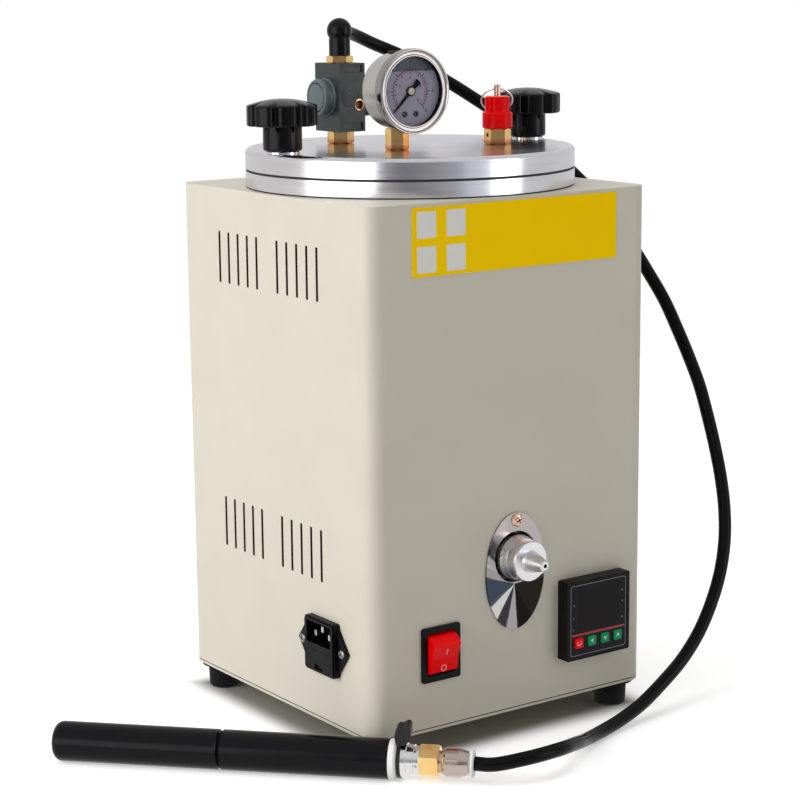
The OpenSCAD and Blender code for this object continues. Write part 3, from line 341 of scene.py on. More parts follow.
# painted shade seen through the vent slots
SLOT_SHADE = painted("slot_shade", (0.012, 0.007, 0.005), 0.9, Specular_IOR_Level=0.05)
PORT_SHADE = surface("port_shade", (0.10, 0.035, 0.015), 0.35, 0.6)
MARK_PALE = painted("mark_pale", (0.80, 0.28, 0.26), 0.45)
WINDOW = surface("display_window", (0.007, 0.005, 0.006), 0.08, relief=0.0, Specular_IOR_Level=0.12)


# ---------------------------------------------------------------- mesh helpers
def piece(name, verts, faces, material, body, slot=None, replaces=(), angle=32):
    """A new mesh object in metres from points in millimetres, riding on a body if one is named."""
    mesh = bpy.data.meshes.new(name)
    mesh.from_pydata([tuple(c * MM for c in v) for v in verts], [], faces)
    work = bmesh.new()
    work.from_mesh(mesh)
    bmesh.ops.recalc_face_normals(work, faces=work.faces)
    work.to_mesh(mesh)
    work.free()
    mesh.materials.append(material)
    mesh.polygons.foreach_set("use_smooth", [True] * len(mesh.polygons))
    mesh.set_sharp_from_angle(angle=math.radians(angle))
    thing = bpy.data.objects.new(name, mesh)
    bpy.context.scene.collection.objects.link(thing)
    if body:
        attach(thing, body)
    if replaces:
        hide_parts(*replaces)
    return thing


def axes(origin, out, up):
    """A place whose local Z points out and whose local Y points up."""
    z = Vector(out).normalized()
    x = Vector(up).cross(z).normalized()
    y = z.cross(x)
    return Matrix.Translation(origin) @ Matrix((x, y, z)).transposed().to_4x4()


def moved(place, verts):
    return [tuple(place @ Vector(v)) for v in verts]


def lathe(profile, sides=96, wave=None):
    """A closed solid of revolution round local Z from (radius, height) points.

    wave(angle, radius, height), if given, returns the radius to use instead.
    """
    verts, faces, rings = [], [], []
    for radius, height in profile:
        if radius < 1e-6:
            rings.append([len(verts)])
            verts.append((0, 0, height))
            continue
        ring = []
        for i in range(sides):
            angle = 2 * math.pi * i / sides
            r = wave(angle, radius, height) if wave else radius
            ring.append(len(verts))
            verts.append((r * math.cos(angle), r * math.sin(angle), height))
        rings.append(ring)
    for low, high in zip(rings, rings[1:]):
        for i in range(sides):
            j = (i + 1) % sides
            a, b = low[i % len(low)], low[j % len(low)]
            c, d = high[j % len(high)], high[i % len(high)]
            face = [v for k, v in enumerate((a, b, c, d)) if v not in (a, b, c, d)[:k]]
            if len(face) > 2:
                faces.append(face)
    for ring in (rings[0], rings[-1]):
        if len(ring) > 1:
            faces.append(ring)
    return verts, faces


def ring_solid(profile, sides=96):
    """A closed ring: the profile's last point joins its first."""
    verts, faces = [], []
    count = len(profile)
    for i in range(sides):
        angle = 2 * math.pi * i / sides
        verts += [(r * math.cos(angle), r * math.sin(angle), h) for r, h in profile]
    for i in range(sides):
        j = (i + 1) % sides
        for k in range(count):
            m = (k + 1) % count
            faces.append((i * count + k, i * count + m, j * count + m, j * count + k))
    return verts, faces


def arc(cx, cy, radius, start, end, steps=6):
    """Points on a circle's arc, with its ends in degrees."""
    angles = [math.radians(start + (end - start) * i / steps) for i in range(steps + 1)]
    return [(cx + radius * math.cos(a), cy + radius * math.sin(a)) for a in angles]


def rounded(width, height, radius, steps=6, cx=0.0, cy=0.0):
    """A rounded rectangle's outline, counter-clockwise."""
    w, h = width / 2 - radius, height / 2 - radius
    return (arc(cx + w, cy - h, radius, -90, 0, steps) + arc(cx + w, cy + h, radius, 0, 90, steps)
            + arc(cx - w, cy + h, radius, 90, 180, steps) + arc(cx - w, cy - h, radius, 180, 270, steps))


def slab(outline, low, high, edge=0.0, segments=2):
    """A prism on a flat outline, with its rims rounded by edge."""
    work = bmesh.new()
    bottom = [work.verts.new((x, y, low)) for x, y in outline]
    top = [work.verts.new((x, y, high)) for x, y in outline]
    n = len(outline)
    work.faces.new(bottom[::-1])
    work.faces.new(top)
    for i in range(n):
        work.faces.new((bottom[i], bottom[(i + 1) % n], top[(i + 1) % n], top[i]))
    if edge:
        rims = [e for e in work.edges if all(v in top for v in e.verts) or all(v in bottom for v in e.verts)]
        bmesh.ops.bevel(work, geom=rims, offset=edge, segments=segments, profile=0.5, affect="EDGES")
    work.verts.index_update()
    verts = [tuple(v.co) for v in work.verts]
    faces = [[v.index for v in f.verts] for f in work.faces]
    work.free()
    return verts, faces


def joined(*parts):
    """Several (verts, faces) pairs as one."""
    verts, faces = [], []
    for v, f in parts:
        base = len(verts)
        verts += v
        faces += [[i + base for i in face] for face in f]
    return verts, faces


def smooth_path(points, steps=8):
    """Points on a centripetal curve through the given ones."""
    p = [np.array(q, float) for q in points]
    p = [2 * p[0] - p[1], *p, 2 * p[-1] - p[-2]]
    out = []
    for a, b, c, d in zip(p, p[1:], p[2:], p[3:]):
        t = [0.0]
        for u, v in ((a, b), (b, c), (c, d)):
            t.append(t[-1] + np.linalg.norm(v - u) ** 0.5)
        for k in range(steps):
            s = t[1] + (t[2] - t[1]) * k / steps
            a1 = a * (t[1] - s) / (t[1] - t[0]) + b * (s - t[0]) / (t[1] - t[0])
            a2 = b * (t[2] - s) / (t[2] - t[1]) + c * (s - t[1]) / (t[2] - t[1])
            a3 = c * (t[3] - s) / (t[3] - t[2]) + d * (s - t[2]) / (t[3] - t[2])
            b1 = a1 * (t[2] - s) / (t[2] - t[0]) + a2 * (s - t[0]) / (t[2] - t[0])
            b2 = a2 * (t[3] - s) / (t[3] - t[1]) + a3 * (s - t[1]) / (t[3] - t[1])
            out.append(b1 * (t[2] - s) / (t[2] - t[1]) + b2 * (s - t[1]) / (t[2] - t[1]))
    out.append(p[-2])
    return np.array(out)


def tube(path, radius, sides=16):
    """A closed tube along a path, with no twist."""
    path = np.asarray(path, float)
    ahead = np.gradient(path, axis=0)
    ahead /= np.linalg.norm(ahead, axis=1)[:, None]
    side = np.cross(ahead[0], (0, 0, 1.0))
    side /= np.linalg.norm(side)
    verts, faces = [], []
    for i, (p, t) in enumerate(zip(path, ahead)):
        side = side - t * (side @ t)
        side /= np.linalg.norm(side)
        other = np.cross(t, side)
        for k in range(sides):
            angle = 2 * math.pi * k / sides
            verts.append(tuple(p + radius * (math.cos(angle) * side + math.sin(angle) * other)))
        if i:
            for k in range(sides):
                m = (k + 1) % sides
                faces.append(((i - 1) * sides + k, (i - 1) * sides + m, i * sides + m, i * sides + k))
    last = (len(path) - 1) * sides
    faces += [list(range(sides))[::-1], list(range(last, last + sides))]
    return verts, faces


def placed(place, shape):
    """A (verts, faces) pair moved to a place."""
    verts, faces = shape
    return moved(place, verts), faces


def decal(outline, place, height=0.05):
    """A thin flat print on a face."""
    return placed(place, slab(outline, 0.0, height))


# ---------------------------------------------------------------- hose
HOSE_RADIUS = 4.0
HOSE_POINTS = [
    (-8, 61, 405.5), (3, 77, 405.5), (15, 90, 404), (28, 97, 401), (44, 99, 395), (60, 94, 388),
    (75, 87, 379), (90, 79, 369), (104, 69, 358), (117, 59, 347), (129, 48, 336), (140, 37, 324),
    (149, 26, 311), (157, 14, 297), (163, 3, 282), (168, -8, 267), (173, -19, 250), (177, -30, 233),
    (179, -40, 216), (181, -49, 199), (182, -58, 182), (181, -67, 164), (180, -75, 146), (177, -84, 128),
    (173, -92, 110), (167, -99, 92), (158, -105, 74), (146, -110, 57), (132, -114, 41.5), (116, -117, 28.5),
    (97, -120, 18), (78, -123.5, 10), (57.5, -128, 5.5), (37, -134, 4.3), (18, -143, 6.3), (0, -154.5, 11),
    (-19, -163.5, 14.5), (-40, -163.3, 14.3), (-57.7, -153.7, 11.4), (-64.7, -146.5, 11.4),
]


def make_hose():
    path = smooth_path(HOSE_POINTS)
    verts, faces = tube(path, HOSE_RADIUS)
    hose = piece("air_hose", verts, faces, MATERIALS["hose_plastic"], None, "hose_plastic", ["hose"])
    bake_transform(hose)


make_hose()

# ---------------------------------------------------------------- star knobs
KNOB_X, KNOB_RIM, LOBES, LOBES_FROM = 89.0, 20.25, 8, 354.25
GROOVE_DEPTH, GROOVE_WIDTH = 3.3, math.radians(6.3)


def star(angle, radius, height):
    """Cuts a smooth groove between each pair of lobes, shallower towards the middle."""
    if height < LOBES_FROM:
        return radius
    period = 2 * math.pi / LOBES
    u = (angle + period / 2) % period - period / 2
    share = min(1.0, radius / KNOB_RIM)
    return radius - share ** 4 * GROOVE_DEPTH * math.exp(-((u / GROOVE_WIDTH) ** 2))


def make_star_knobs():
    hub = [(4.4, 340.0), *arc(9.9, 341.4, 1.3, -90, 0, 4), (11.2, 345), (11.1, 354.0)]
    under = [(11.1, LOBES_FROM), (13, 354.3), (16, 354.3), (18.4, 354.3)]
    rim = arc(19.25, 355.3, 1.0, -90, 0, 5) + [(KNOB_RIM, 358), (KNOB_RIM, 362)]
    shoulder = arc(18.85, 364.9, 1.4, 0, 70, 5)
    dome = [(17.2, 366.85), (14.5, 367.6), (11.5, 368.3), (8, 368.95), (4, 369.35), (0.0, 369.5)]
    shape = lathe(hub + under + rim + shoulder + dome, 192, star)
    for name, x in (("knob_left", -KNOB_X), ("knob_right", KNOB_X)):
        verts, faces = placed(Matrix.Translation((x, 0, 0)), shape)
        piece("star_" + name, verts, faces, MATERIALS["knob_plastic"], name, "knob_plastic", [name], angle=50)


make_star_knobs()

# ---------------------------------------------------------------- gauge
GAUGE_X, GAUGE_Z = -23.8, 372.4
DIAL_Y, NEEDLE_Y, BEZEL_Y = -33.8, -34.5, -36.2
# the scale starts at this direction on the dial and runs clockwise, in degrees
ZERO_ANGLE, SWEEP = 225, 270
DIAL_RADIUS, LIQUID_LEVEL = 20.2, 11.2


def gauge_place(y):
    return axes((GAUGE_X, y, GAUGE_Z), (0, -1, 0), (0, 0, 1))


def dial_angle(step, steps):
    """The direction of one of the scale's equal steps, in radians."""
    return math.radians(ZERO_ANGLE - step * SWEEP / steps)


def tick(angle, inner, outer, width):
    """The outline of a radial stroke."""
    u, v = Vector((math.cos(angle), math.sin(angle))), Vector((-math.sin(angle), math.cos(angle)))
    corners = ((inner, -1), (outer, -1), (outer, 1), (inner, 1))
    return [tuple(u * r + v * s * width / 2) for r, s in corners]


def number(name, text, size, radius, angle, material):
    """Flat upright figures on the dial, made into a mesh."""
    curve = bpy.data.curves.new(name, "FONT")
    curve.body, curve.size, curve.extrude = text, size * MM, 0.02 * MM
    curve.align_x = curve.align_y = "CENTER"
    thing = bpy.data.objects.new(name, curve)
    bpy.context.scene.collection.objects.link(thing)
    spot = Matrix.Translation((radius * math.cos(angle), radius * math.sin(angle), 0.09))
    world = gauge_place(DIAL_Y) @ spot
    thing.matrix_world = Matrix.Translation(world.translation * MM) @ world.to_3x3().to_4x4()
    bpy.context.view_layer.update()
    mesh = bpy.data.meshes.new_from_object(thing.evaluated_get(bpy.context.evaluated_depsgraph_get()))
    mesh.transform(thing.matrix_world)
    bpy.data.objects.remove(thing)
    mesh.materials.clear()
    mesh.materials.append(material)
    flat = bpy.data.objects.new(name, mesh)
    bpy.context.scene.collection.objects.link(flat)
    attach(flat, "lid")


def make_scales():
    place = gauge_place(DIAL_Y)
    outer_steps, inner_steps = 30, 32
    black = []
    for i in range(outer_steps + 1):
        end, width = (13.2, 0.28) if i % 5 else (13.9, 0.45)
        black.append(decal(tick(dial_angle(i, outer_steps), 12.1, end, width), place))
    piece("dial_outer_scale", *joined(*black), INK_BLACK, "lid", "dial_paint")
    red = []
    for i in range(inner_steps + 1):
        start, width = (10.2, 0.34) if i % 4 else (9.6, 0.5)
        red.append(decal(tick(dial_angle(i, inner_steps), start, 11.7, width), place))
    stripe = arc(0, 0, 12.05, -45, 225, 60) + arc(0, 0, 11.75, 225, -45, 60)
    red.append(decal(stripe, place, 0.04))
    piece("dial_inner_scale", *joined(*red), INK_RED, "lid", "dial_paint")
    for ring, steps, unit, size, radius, ink in (("outer", 6, 1, 3.3, 15.9, INK_BLUE),
                                                 ("inner", 4, 2, 3.0, 7.7, INK_RED)):
        for i in range(steps + 1):
            number(f"dial_{ring}_number_{i}", str(i * unit), size, radius, dial_angle(i, steps), ink)


def make_dial_screws():
    head = lathe([(0, 0), (1.75, 0), (1.75, 0.35), (1.4, 0.6), (0, 0.75)], 32)
    cut = [(-1.2, -0.22), (1.2, -0.22), (1.2, 0.22), (-1.2, 0.22)]
    for k, x in enumerate((-3.9, 3.9)):
        place = gauge_place(DIAL_Y) @ Matrix.Translation((x, -12.9, 0))
        piece(f"dial_screw_{k}", *placed(place, head), DIAL_SCREW, "lid", "dial_paint")
        # each screw's slot is a thin near-black decal: painted shade
        top = place @ Matrix.Translation((0, 0, 0.72)) @ Matrix.Rotation(0.6 + k, 4, "Z")
        piece(f"dial_screw_slot_{k}", *decal(cut, top, 0.06), RECESS_SHADE, "lid")


def make_needle():
    """A tapered pointer with an arrow tail and an ivory hub, at the zero mark."""
    place = gauge_place(NEEDLE_Y) @ Matrix.Rotation(math.radians(ZERO_ANGLE), 4, "Z")
    pointer = [(-5, -0.85), (0, -1.0), (15.8, -0.32), (15.8, 0.32), (0, 1.0), (-5, 0.85)]
    tail = [(-1.8, -0.85), (-5.6, -1.35), (-7.7, -2.3), (-8.1, 0), (-7.7, 2.3), (-5.6, 1.35), (-1.8, 0.85)]
    stem = lathe([(0, -1.2), (0.9, -1.2), (0.9, -0.1), (2.9, -0.1), (2.9, 0.55), (0, 0.55)], 40)
    shape = joined(slab(pointer, 0, 0.45, 0.1), slab(tail, 0.05, 0.5, 0.1), stem)
    piece("needle_pointer", *placed(place, shape), MATERIALS["needle_paint"], "gauge_needle", "needle_paint",
          ["gauge_needle"])
    hub = lathe([(0, 0.5), (2.1, 0.5), (2.1, 0.95), (1.7, 1.25), (0.75, 1.35), (0.55, 0.9), (0, 0.9)], 40)
    piece("needle_hub", *placed(place, hub), IVORY, "gauge_needle", "needle_paint")


def make_liquid():
    """Painted shade on the dial above the filling's level, a painted highlight along the filling's surface,
    and a near-black inner wall that paints the shade between glass and dial.
    """
    place = gauge_place(DIAL_Y)
    edge = math.degrees(math.asin(LIQUID_LEVEL / DIAL_RADIUS))
    air = arc(0, 0, DIAL_RADIUS, edge, 180 - edge, 30)
    piece("dial_air_space", *decal(air, place, 0.03), AIR_SPACE_SHADE, "lid", "dial_paint")
    line = [(-16.9, 11.15), (16.9, 11.15), (16.6, 11.4), (-16.6, 11.4)]
    piece("dial_liquid_line", *decal(line, place, 0.14), MENISCUS_HIGHLIGHT, "lid", "dial_paint")
    # a near-black wall between glass and dial: painted shade
    wall = ring_solid([(DIAL_RADIUS, 0.1), (DIAL_RADIUS, 2.3), (20.46, 2.3), (20.46, 0.1)])
    piece("gauge_inner_wall", *placed(place, wall), RECESS_SHADE, "lid", "satin_steel")


def make_bezel():
    """An outer lip and an inner lip with a sunk band between them."""
    inner_lip = [(19.8, 1.3), (19.75, 1.9), (20.0, 2.15), (20.4, 2.15), (20.7, 1.85)]
    band = [(21.0, 1.5), (22.3, 1.45), (22.8, 1.7)]
    outer_lip = [(23.1, 2.4), (23.4, 2.75), (23.8, 2.8), (24.1, 2.55), (24.2, 2.0)]
    back = [(24.2, -2.6), (24.0, -3.3), (23.5, -3.6), (21.6, -3.6), (21.6, 1.3)]
    verts, faces = placed(gauge_place(BEZEL_Y), ring_solid(inner_lip + band + outer_lip + back, 160))
    piece("gauge_rim", verts, faces, GAUGE_RIM, "lid", "polished_steel", ["gauge_bezel"], angle=30)


make_scales()
make_dial_screws()
make_needle()
make_liquid()
make_bezel()

# ---------------------------------------------------------------- front panel
CONTROLLER_X, CONTROLLER_Z, CONTROLLER_Y = 56.5, 64.6, -108.4
BUTTON_Y, BUTTON_Z = -109.2, 50.8
BUTTON_X = {"set_button": 41.4, "shift_button": 51.4, "down_button": 61.4, "up_button": 71.2}
# each button's arrow, as a turn in degrees from one that points up
ARROW_TURN = {"shift_button": 90, "down_button": 180, "up_button": 0}


def front_place(x, y, z):
    return axes((x, y, z), (0, -1, 0), (0, 0, 1))


def outline_frame(width, height, radius, thick, place):
    """A thin printed line round a rounded rectangle."""
    outer = rounded(width, height, radius)
    inner = rounded(width - 2 * thick, height - 2 * thick, radius - thick * 0.6)
    n = len(outer)
    verts = [(x, y, 0.05) for x, y in outer + inner]
    faces = [(i, (i + 1) % n, n + (i + 1) % n, n + i) for i in range(n)]
    return moved(place, verts), faces


def make_controller():
    place = front_place(CONTROLLER_X, CONTROLLER_Y, CONTROLLER_Z)
    piece("controller_outline", *outline_frame(42.6, 42.9, 1.6, 0.45, place), INK_GREY, "root", "panel_gloss")
    window = decal(rounded(30.5, 24.5, 0.6, cy=5.6), place, 0.06)
    piece("display_window", *window, WINDOW, "root", "panel_gloss")
    stripe = slab(rounded(40.6, 1.3, 0.4, cy=-8.9), 0.0, 0.12, 0.05)
    piece("controller_stripe", *placed(place, stripe), STRIPE_RED, "root", "panel_gloss")
    marks = []
    for x, z, width in ((-18.7, 9.4, 1.0), (-18.9, 1.6, 0.7), (-18.9, -5.4, 1.1),
                        (18.3, 13.2, 1.2), (18.6, 6.4, 1.1), (18.4, -3.4, 1.1)):
        marks.append(decal(rounded(width, 0.8, 0.25, 3, x, z), place))
    piece("controller_marks", *joined(*marks), INK_GREY, "root", "panel_gloss")


def make_button_marks():
    arrow = [(0, -0.35), (1.45, -1.15), (0, 1.55), (-1.45, -1.15)]
    for name, turn in ARROW_TURN.items():
        turned_up = Matrix.Rotation(math.radians(turn), 4, "Z")
        place = front_place(BUTTON_X[name], BUTTON_Y, BUTTON_Z) @ turned_up
        piece(name + "_arrow", *decal(arrow, place, 0.06), ARROW_GREEN, name, "green_plastic")
    place = front_place(BUTTON_X["set_button"], BUTTON_Y, BUTTON_Z)
    open_ring = arc(0, 0, 1.612, 130, 410, 24) + arc(0, 0, 1.092, 410, 130, 24)
    piece("set_button_mark", *decal(open_ring, place, 0.06), MARK_PINK, "set_button", "red_plastic")


make_controller()
make_button_marks()

# ---------------------------------------------------------------- rocker marks
SWITCH_X, SWITCH_Z = -53.65, 61.2
ROCKER_PIVOT_Y = -97.0
# the rocker's edges at rest, as (outward, up) from its pivot
RIDGE_HIGH, RIDGE_MIDDLE, RIDGE_LOW = (10.62, 5.79), (7.94, -1.83), (7.0, -9.86)


def rocker_place(start, end, share, across):
    """A place on the face between two of the rocker's edges, at a share of the way down it."""
    out = start[0] + (end[0] - start[0]) * share
    rise = start[1] + (end[1] - start[1]) * share
    along = Vector((0, -(start[0] - end[0]), start[1] - end[1]))
    normal = Vector((1, 0, 0)).cross(along)
    return axes((SWITCH_X + across, ROCKER_PIVOT_Y - out, SWITCH_Z + rise), normal, along)


def make_rocker_marks():
    stroke = decal(rounded(0.75, 4.0, 0.3, 3), rocker_place(RIDGE_HIGH, RIDGE_MIDDLE, 0.5, 0.5), 0.07)
    circle = arc(0, 0, 2.05, 0, 360, 32) + arc(0, 0, 1.4, 360, 0, 32)
    ring = decal(circle, rocker_place(RIDGE_MIDDLE, RIDGE_LOW, 0.75, -0.5), 0.07)
    piece("rocker_marks", *joined(stroke, ring), MARK_PALE, "rocker", "red_plastic")


make_rocker_marks()

# ---------------------------------------------------------------- regulator
REGULATOR_FRONT_Y = 31
CAP_X, CAP_Y, CAP_Z = -28.9, 44.5, 366.4
GROOVE_RADIUS, GROOVE_HALF = 8.6, 0.22


def make_regulator_front():
    """A blanked port, and a low boss with a small screw beside it."""
    port = front_place(-14.7, REGULATOR_FRONT_Y, 361.9)
    ring = ring_solid([(3.35, -3.8), (3.35, 0.2), (2.75, 0.35), (2.55, -0.2), (2.55, -3.8)], 40)
    piece("port_ring", *placed(port, ring), MATERIALS["brass"], "lid", "brass")
    # the sunk plug's near-black colour is painted shade in the port's hole
    plug = lathe([(0, -3.8), (2.5, -3.8), (2.5, -2.2), (0, -2.0)], 6)
    piece("port_plug", *placed(port, plug), PORT_SHADE, "lid", "brass")
    boss = lathe([(0, 0), (6.3, 0), (6.0, 0.12), (5.8, 0.16), (0, 0.16)], 48)
    place = front_place(-21.3, REGULATOR_FRONT_Y, 366.9)
    piece("regulator_boss", *placed(place, boss), MATERIALS["regulator_paint"], "lid", "regulator_paint")
    screw = lathe([(0, 0), (0.7, 0), (0.7, 0.3), (0.5, 0.5), (0, 0.55)], 24)
    place = front_place(-22.3, REGULATOR_FRONT_Y, 368.7)
    piece("regulator_small_screw", *placed(place, screw), CAP_PAINT, "lid", "regulator_paint")


def make_regulator_cap():
    """The end cap: a raised rim, a ring groove with painted shade in it and a flat disc."""
    place = axes((CAP_X, CAP_Y, CAP_Z), (-1, 0, 0), (0, 0, 1))
    side = [(0, 0), (11.25, 0), (11.25, 1.4), (10.7, 1.8), (10.7, 4.6), (11.0, 5.0), (11.0, 6.6)]
    rim = [(10.4, 7.6), (9.6, 8.0), (8.95, 8.0), (8.75, 7.5), (8.45, 7.5), (8.25, 8.05)]
    disc = [(7.8, 8.15), (0, 8.15)]
    cap = placed(place, lathe(side + rim + disc))
    piece("regulator_end_cap", *cap, CAP_PAINT, "lid", "regulator_paint", ["regulator_cap"])
    # a near-black ring in the groove: painted shade
    inner, outer = GROOVE_RADIUS - GROOVE_HALF, GROOVE_RADIUS + GROOVE_HALF
    groove = ring_solid([(inner, 7.45), (inner, 7.75), (outer, 7.75), (outer, 7.45)])
    piece("cap_groove", *placed(place, groove), RECESS_SHADE, "lid", "regulator_paint")


make_regulator_front()
make_regulator_cap()

# ---------------------------------------------------------------- case
CASE_HALF = 100.0
SLOT_GROUPS, SLOTS, SLOT_PITCH = (13.2, -50), 5, 10.3
SLOT_ROWS, SLOT_RISE = (99.1, 260), 15.15
SHEET_ROWS = {"low": 114.5, "high": 275.5}


def make_screw_cross():
    # the screw's cross recess is drawn as near-black bars: painted shade
    place = front_place(0.9, -102.22, 130.3) @ Matrix.Rotation(math.radians(20), 4, "Z")
    bars = [decal(rounded(4.1, 0.75, 0.1, 2), place, 0.06), decal(rounded(0.75, 4.1, 0.1, 2), place, 0.07)]
    piece("screw_cross", *joined(*bars), RECESS_SHADE, "root", "bronze_screw")


def make_vents():
    """Painted shade for the vent slots: dark sheets behind the slots, and dark fills in each slot just below
    the case's face.
    """
    for name, side in (("left", -1), ("right", 1)):
        face = axes((side * CASE_HALF, 0, 0), (side, 0, 0), (0, 0, 1))
        for row, z in SHEET_ROWS.items():
            sheet = slab(rounded(116, 40, 2, 3, side * 4, z), -1.95, -1.45)
            piece(f"vent_shade_sheet_{name}_{row}", *placed(face, sheet), SLOT_SHADE, "root")
        fills = []
        for start in SLOT_GROUPS:
            for i in range(SLOTS):
                for low in SLOT_ROWS:
                    y, z = side * (start + i * SLOT_PITCH), low + SLOT_RISE
                    fills.append(slab(rounded(2.26, 30.26, 0.3, 2, y, z), -0.6, -0.12))
        piece(f"vent_slot_shade_{name}", *placed(face, joined(*fills)), SLOT_SHADE, "root")


def make_base_gap():
    """Painted shade: a near-black ring in the gap between the case and its base plate."""
    outer, inner = rounded(199.3, 199.3, 10, 8), rounded(197, 197, 9, 8)
    n = len(outer)
    verts = [(x, y, z) for z in (17.53, 18.07) for x, y in outer + inner]
    faces = []
    for i in range(n):
        j = (i + 1) % n
        faces += [(i, j, n + j, n + i), (2 * n + i, 3 * n + i, 3 * n + j, 2 * n + j),
                  (i, 2 * n + i, 2 * n + j, j), (n + i, n + j, 3 * n + j, 3 * n + i)]
    piece("base_gap", verts, faces, RECESS_SHADE, "root", "case_enamel")


def make_label_squares():
    squares = []
    for x in (-61.35, -41.4):
        for z in (304.25, 285.2):
            squares.append(decal(rounded(13, 14.6, 0.5, 3), front_place(x, -100.5, z)))
    piece("label_pale_squares", *joined(*squares), PALE_PANEL, "root", "yellow_label")


make_screw_cross()
make_vents()
make_base_gap()
make_label_squares()

# ---------------------------------------------------------------- floor, world and lamps
FLOOR_RADIUS, FLOOR_SIDES = 1.25, 128
# painted shadow on the floor under the case: dark up to the first distance from the middle, and open from the
# second one on
UNDER_CASE, OPEN_FLOOR = 88, 112
SHADOW_COLOUR, OPEN_COLOUR = (0.30, 0.29, 0.26), (0.92, 0.92, 0.92)
OPEN_GLOW = 0.40


def make_floor():
    mesh = bpy.data.meshes.new("floor")
    rim = arc(0, 0, FLOOR_RADIUS, 0, 360, FLOOR_SIDES)[:-1]
    mesh.from_pydata([(x, y, 0) for x, y in rim], [], [tuple(range(FLOOR_SIDES))])
    floor = bpy.data.objects.new("floor", mesh)
    bpy.context.scene.collection.objects.link(floor)
    material = bpy.data.materials.new("floor_white")
    material.use_nodes = True
    tree = material.node_tree
    tree.nodes.clear()
    n = Nodes(tree)
    place = n.parts(n.place())
    reach = n.math("MAXIMUM", n.math("ABSOLUTE", place["X"]), n.math("ABSOLUTE", place["Y"]))
    limits = {"Value": reach, "From Min": UNDER_CASE * MM, "From Max": OPEN_FLOOR * MM}
    unshadowed = n.add("ShaderNodeMapRange", limits, interpolation_type="SMOOTHSTEP").outputs[0]
    colour = n.mix(unshadowed, SHADOW_COLOUR, OPEN_COLOUR)
    paint = n.add("ShaderNodeBsdfDiffuse", {"Color": colour}).outputs[0]
    glow = n.add("ShaderNodeEmission", {"Strength": n.math("MULTIPLY", unshadowed, OPEN_GLOW)}).outputs[0]
    seen = n.add("ShaderNodeAddShader", {0: paint, 1: glow}).outputs[0]
    bounced = n.add("ShaderNodeBsdfDiffuse", {"Color": (0.75, 0.75, 0.75, 1)}).outputs[0]
    mirrored = n.add("ShaderNodeEmission", {"Strength": 0.95}).outputs[0]
    rays = n.add("ShaderNodeLightPath").outputs
    other = n.add("ShaderNodeMixShader", {0: rays["Is Glossy Ray"], 1: bounced, 2: mirrored}).outputs[0]
    both = n.add("ShaderNodeMixShader", {0: rays["Is Camera Ray"], 1: other, 2: seen}).outputs[0]
    n.put(n.add("ShaderNodeOutputMaterial").inputs[0], both)
    mesh.materials.append(material)


make_floor()

DIFFUSE_LEVEL = 0.42
# what polished metal sees: overhead, in the white lamps, and round the object by angle in degrees
CEILING = (0.70, 0.70, 0.72)
LAMP_BOOST = 1.6
SURROUNDINGS = [
    (-180, (0.72, 0.71, 0.73)), (-78, (0.74, 0.72, 0.71)), (-74, (1.0, 1.0, 1.0)), (-25, (1.0, 1.0, 1.0)),
    (-21, (0.30, 0.29, 0.30)), (-4, (0.20, 0.20, 0.23)), (18, (0.30, 0.30, 0.32)), (35, (0.42, 0.43, 0.47)),
    (38, (0.62, 0.66, 0.72)), (56, (0.7, 0.74, 0.8)), (59, (1.0, 1.0, 1.0)), (80, (1.0, 1.0, 1.0)),
    (83, (0.50, 0.53, 0.58)), (92, (0.66, 0.66, 0.68)), (180, (0.72, 0.71, 0.73)),
]


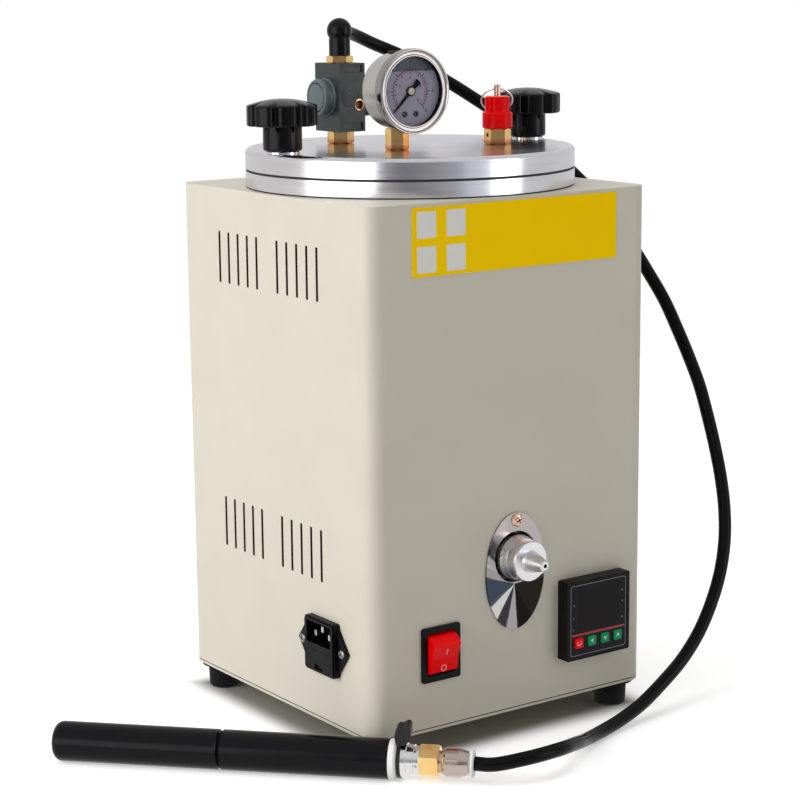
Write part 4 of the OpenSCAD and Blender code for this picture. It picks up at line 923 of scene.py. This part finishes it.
def make_world():
    world = bpy.data.worlds.new("studio")
    bpy.context.scene.world = world
    world.use_nodes = True
    tree = world.node_tree
    tree.nodes.clear()
    n = Nodes(tree)
    rays = n.add("ShaderNodeLightPath").outputs
    way = n.parts(n.add("ShaderNodeTexCoord").outputs["Generated"])
    angle = n.math("ARCTAN2", way["Y"], way["X"])
    from_camera = n.math("SUBTRACT", angle, math.radians(-90 + CAMERA_AZIMUTH))
    share = n.math("FRACT", n.math("ADD", n.math("DIVIDE", from_camera, 2 * math.pi), 1.5))
    band = n.ramp(share, [((a + 180) / 360, c) for a, c in SURROUNDINGS])
    lamp_share = n.spread(n.add("ShaderNodeSeparateColor", {0: band}).outputs["Green"], 0, 1, 0.9, 1.0)
    boost = n.math("ADD", 1.0, n.math("MULTIPLY", lamp_share, LAMP_BOOST))
    boosted = n.add("ShaderNodeVectorMath", {0: band, "Scale": boost}, operation="SCALE")
    high = n.spread(way["Z"], 0, 1, 0.35, 0.6)
    mirrored = n.mix(high, boosted.outputs[0], CEILING)
    level = n.add("ShaderNodeBackground", {"Color": (1, 1, 1, 1), "Strength": DIFFUSE_LEVEL}).outputs[0]
    white = n.add("ShaderNodeBackground", {"Color": (1, 1, 1, 1), "Strength": 1.0}).outputs[0]
    studio = n.add("ShaderNodeBackground", {"Color": mirrored, "Strength": 1.0}).outputs[0]
    shiny = n.add("ShaderNodeMixShader", {0: rays["Is Glossy Ray"], 1: level, 2: studio})
    clear = n.math("MAXIMUM", rays["Is Camera Ray"], rays["Is Transmission Ray"])
    both = n.add("ShaderNodeMixShader", {0: clear, 1: shiny.outputs[0], 2: white})
    n.put(n.add("ShaderNodeOutputWorld").inputs[0], both.outputs[0])


make_world()


def lamp(name, place, target, width, height, power):
    """A soft lamp in metres and watts that lights surfaces but is never seen or mirrored."""
    data = bpy.data.lights.new(name, "AREA")
    data.shape, data.size, data.size_y, data.energy = "RECTANGLE", width, height, power
    thing = bpy.data.objects.new(name, data)
    bpy.context.scene.collection.objects.link(thing)
    back = Vector(place) - Vector(target)
    thing.matrix_world = Matrix.Translation(place) @ back.to_track_quat("Z", "Y").to_matrix().to_4x4()
    thing.visible_glossy = thing.visible_camera = False


lamp("key_left", (-1.7, 0.1, 0.75), (0, 0, 0.18), 1.3, 1.5, 28)
lamp("fill_right", (0.9, -1.5, 0.9), (0, 0, 0.15), 1.2, 1.2, 3.5)
lamp("top", (0.0, 0.2, 1.9), (0, 0, 0.3), 1.4, 1.4, 13)
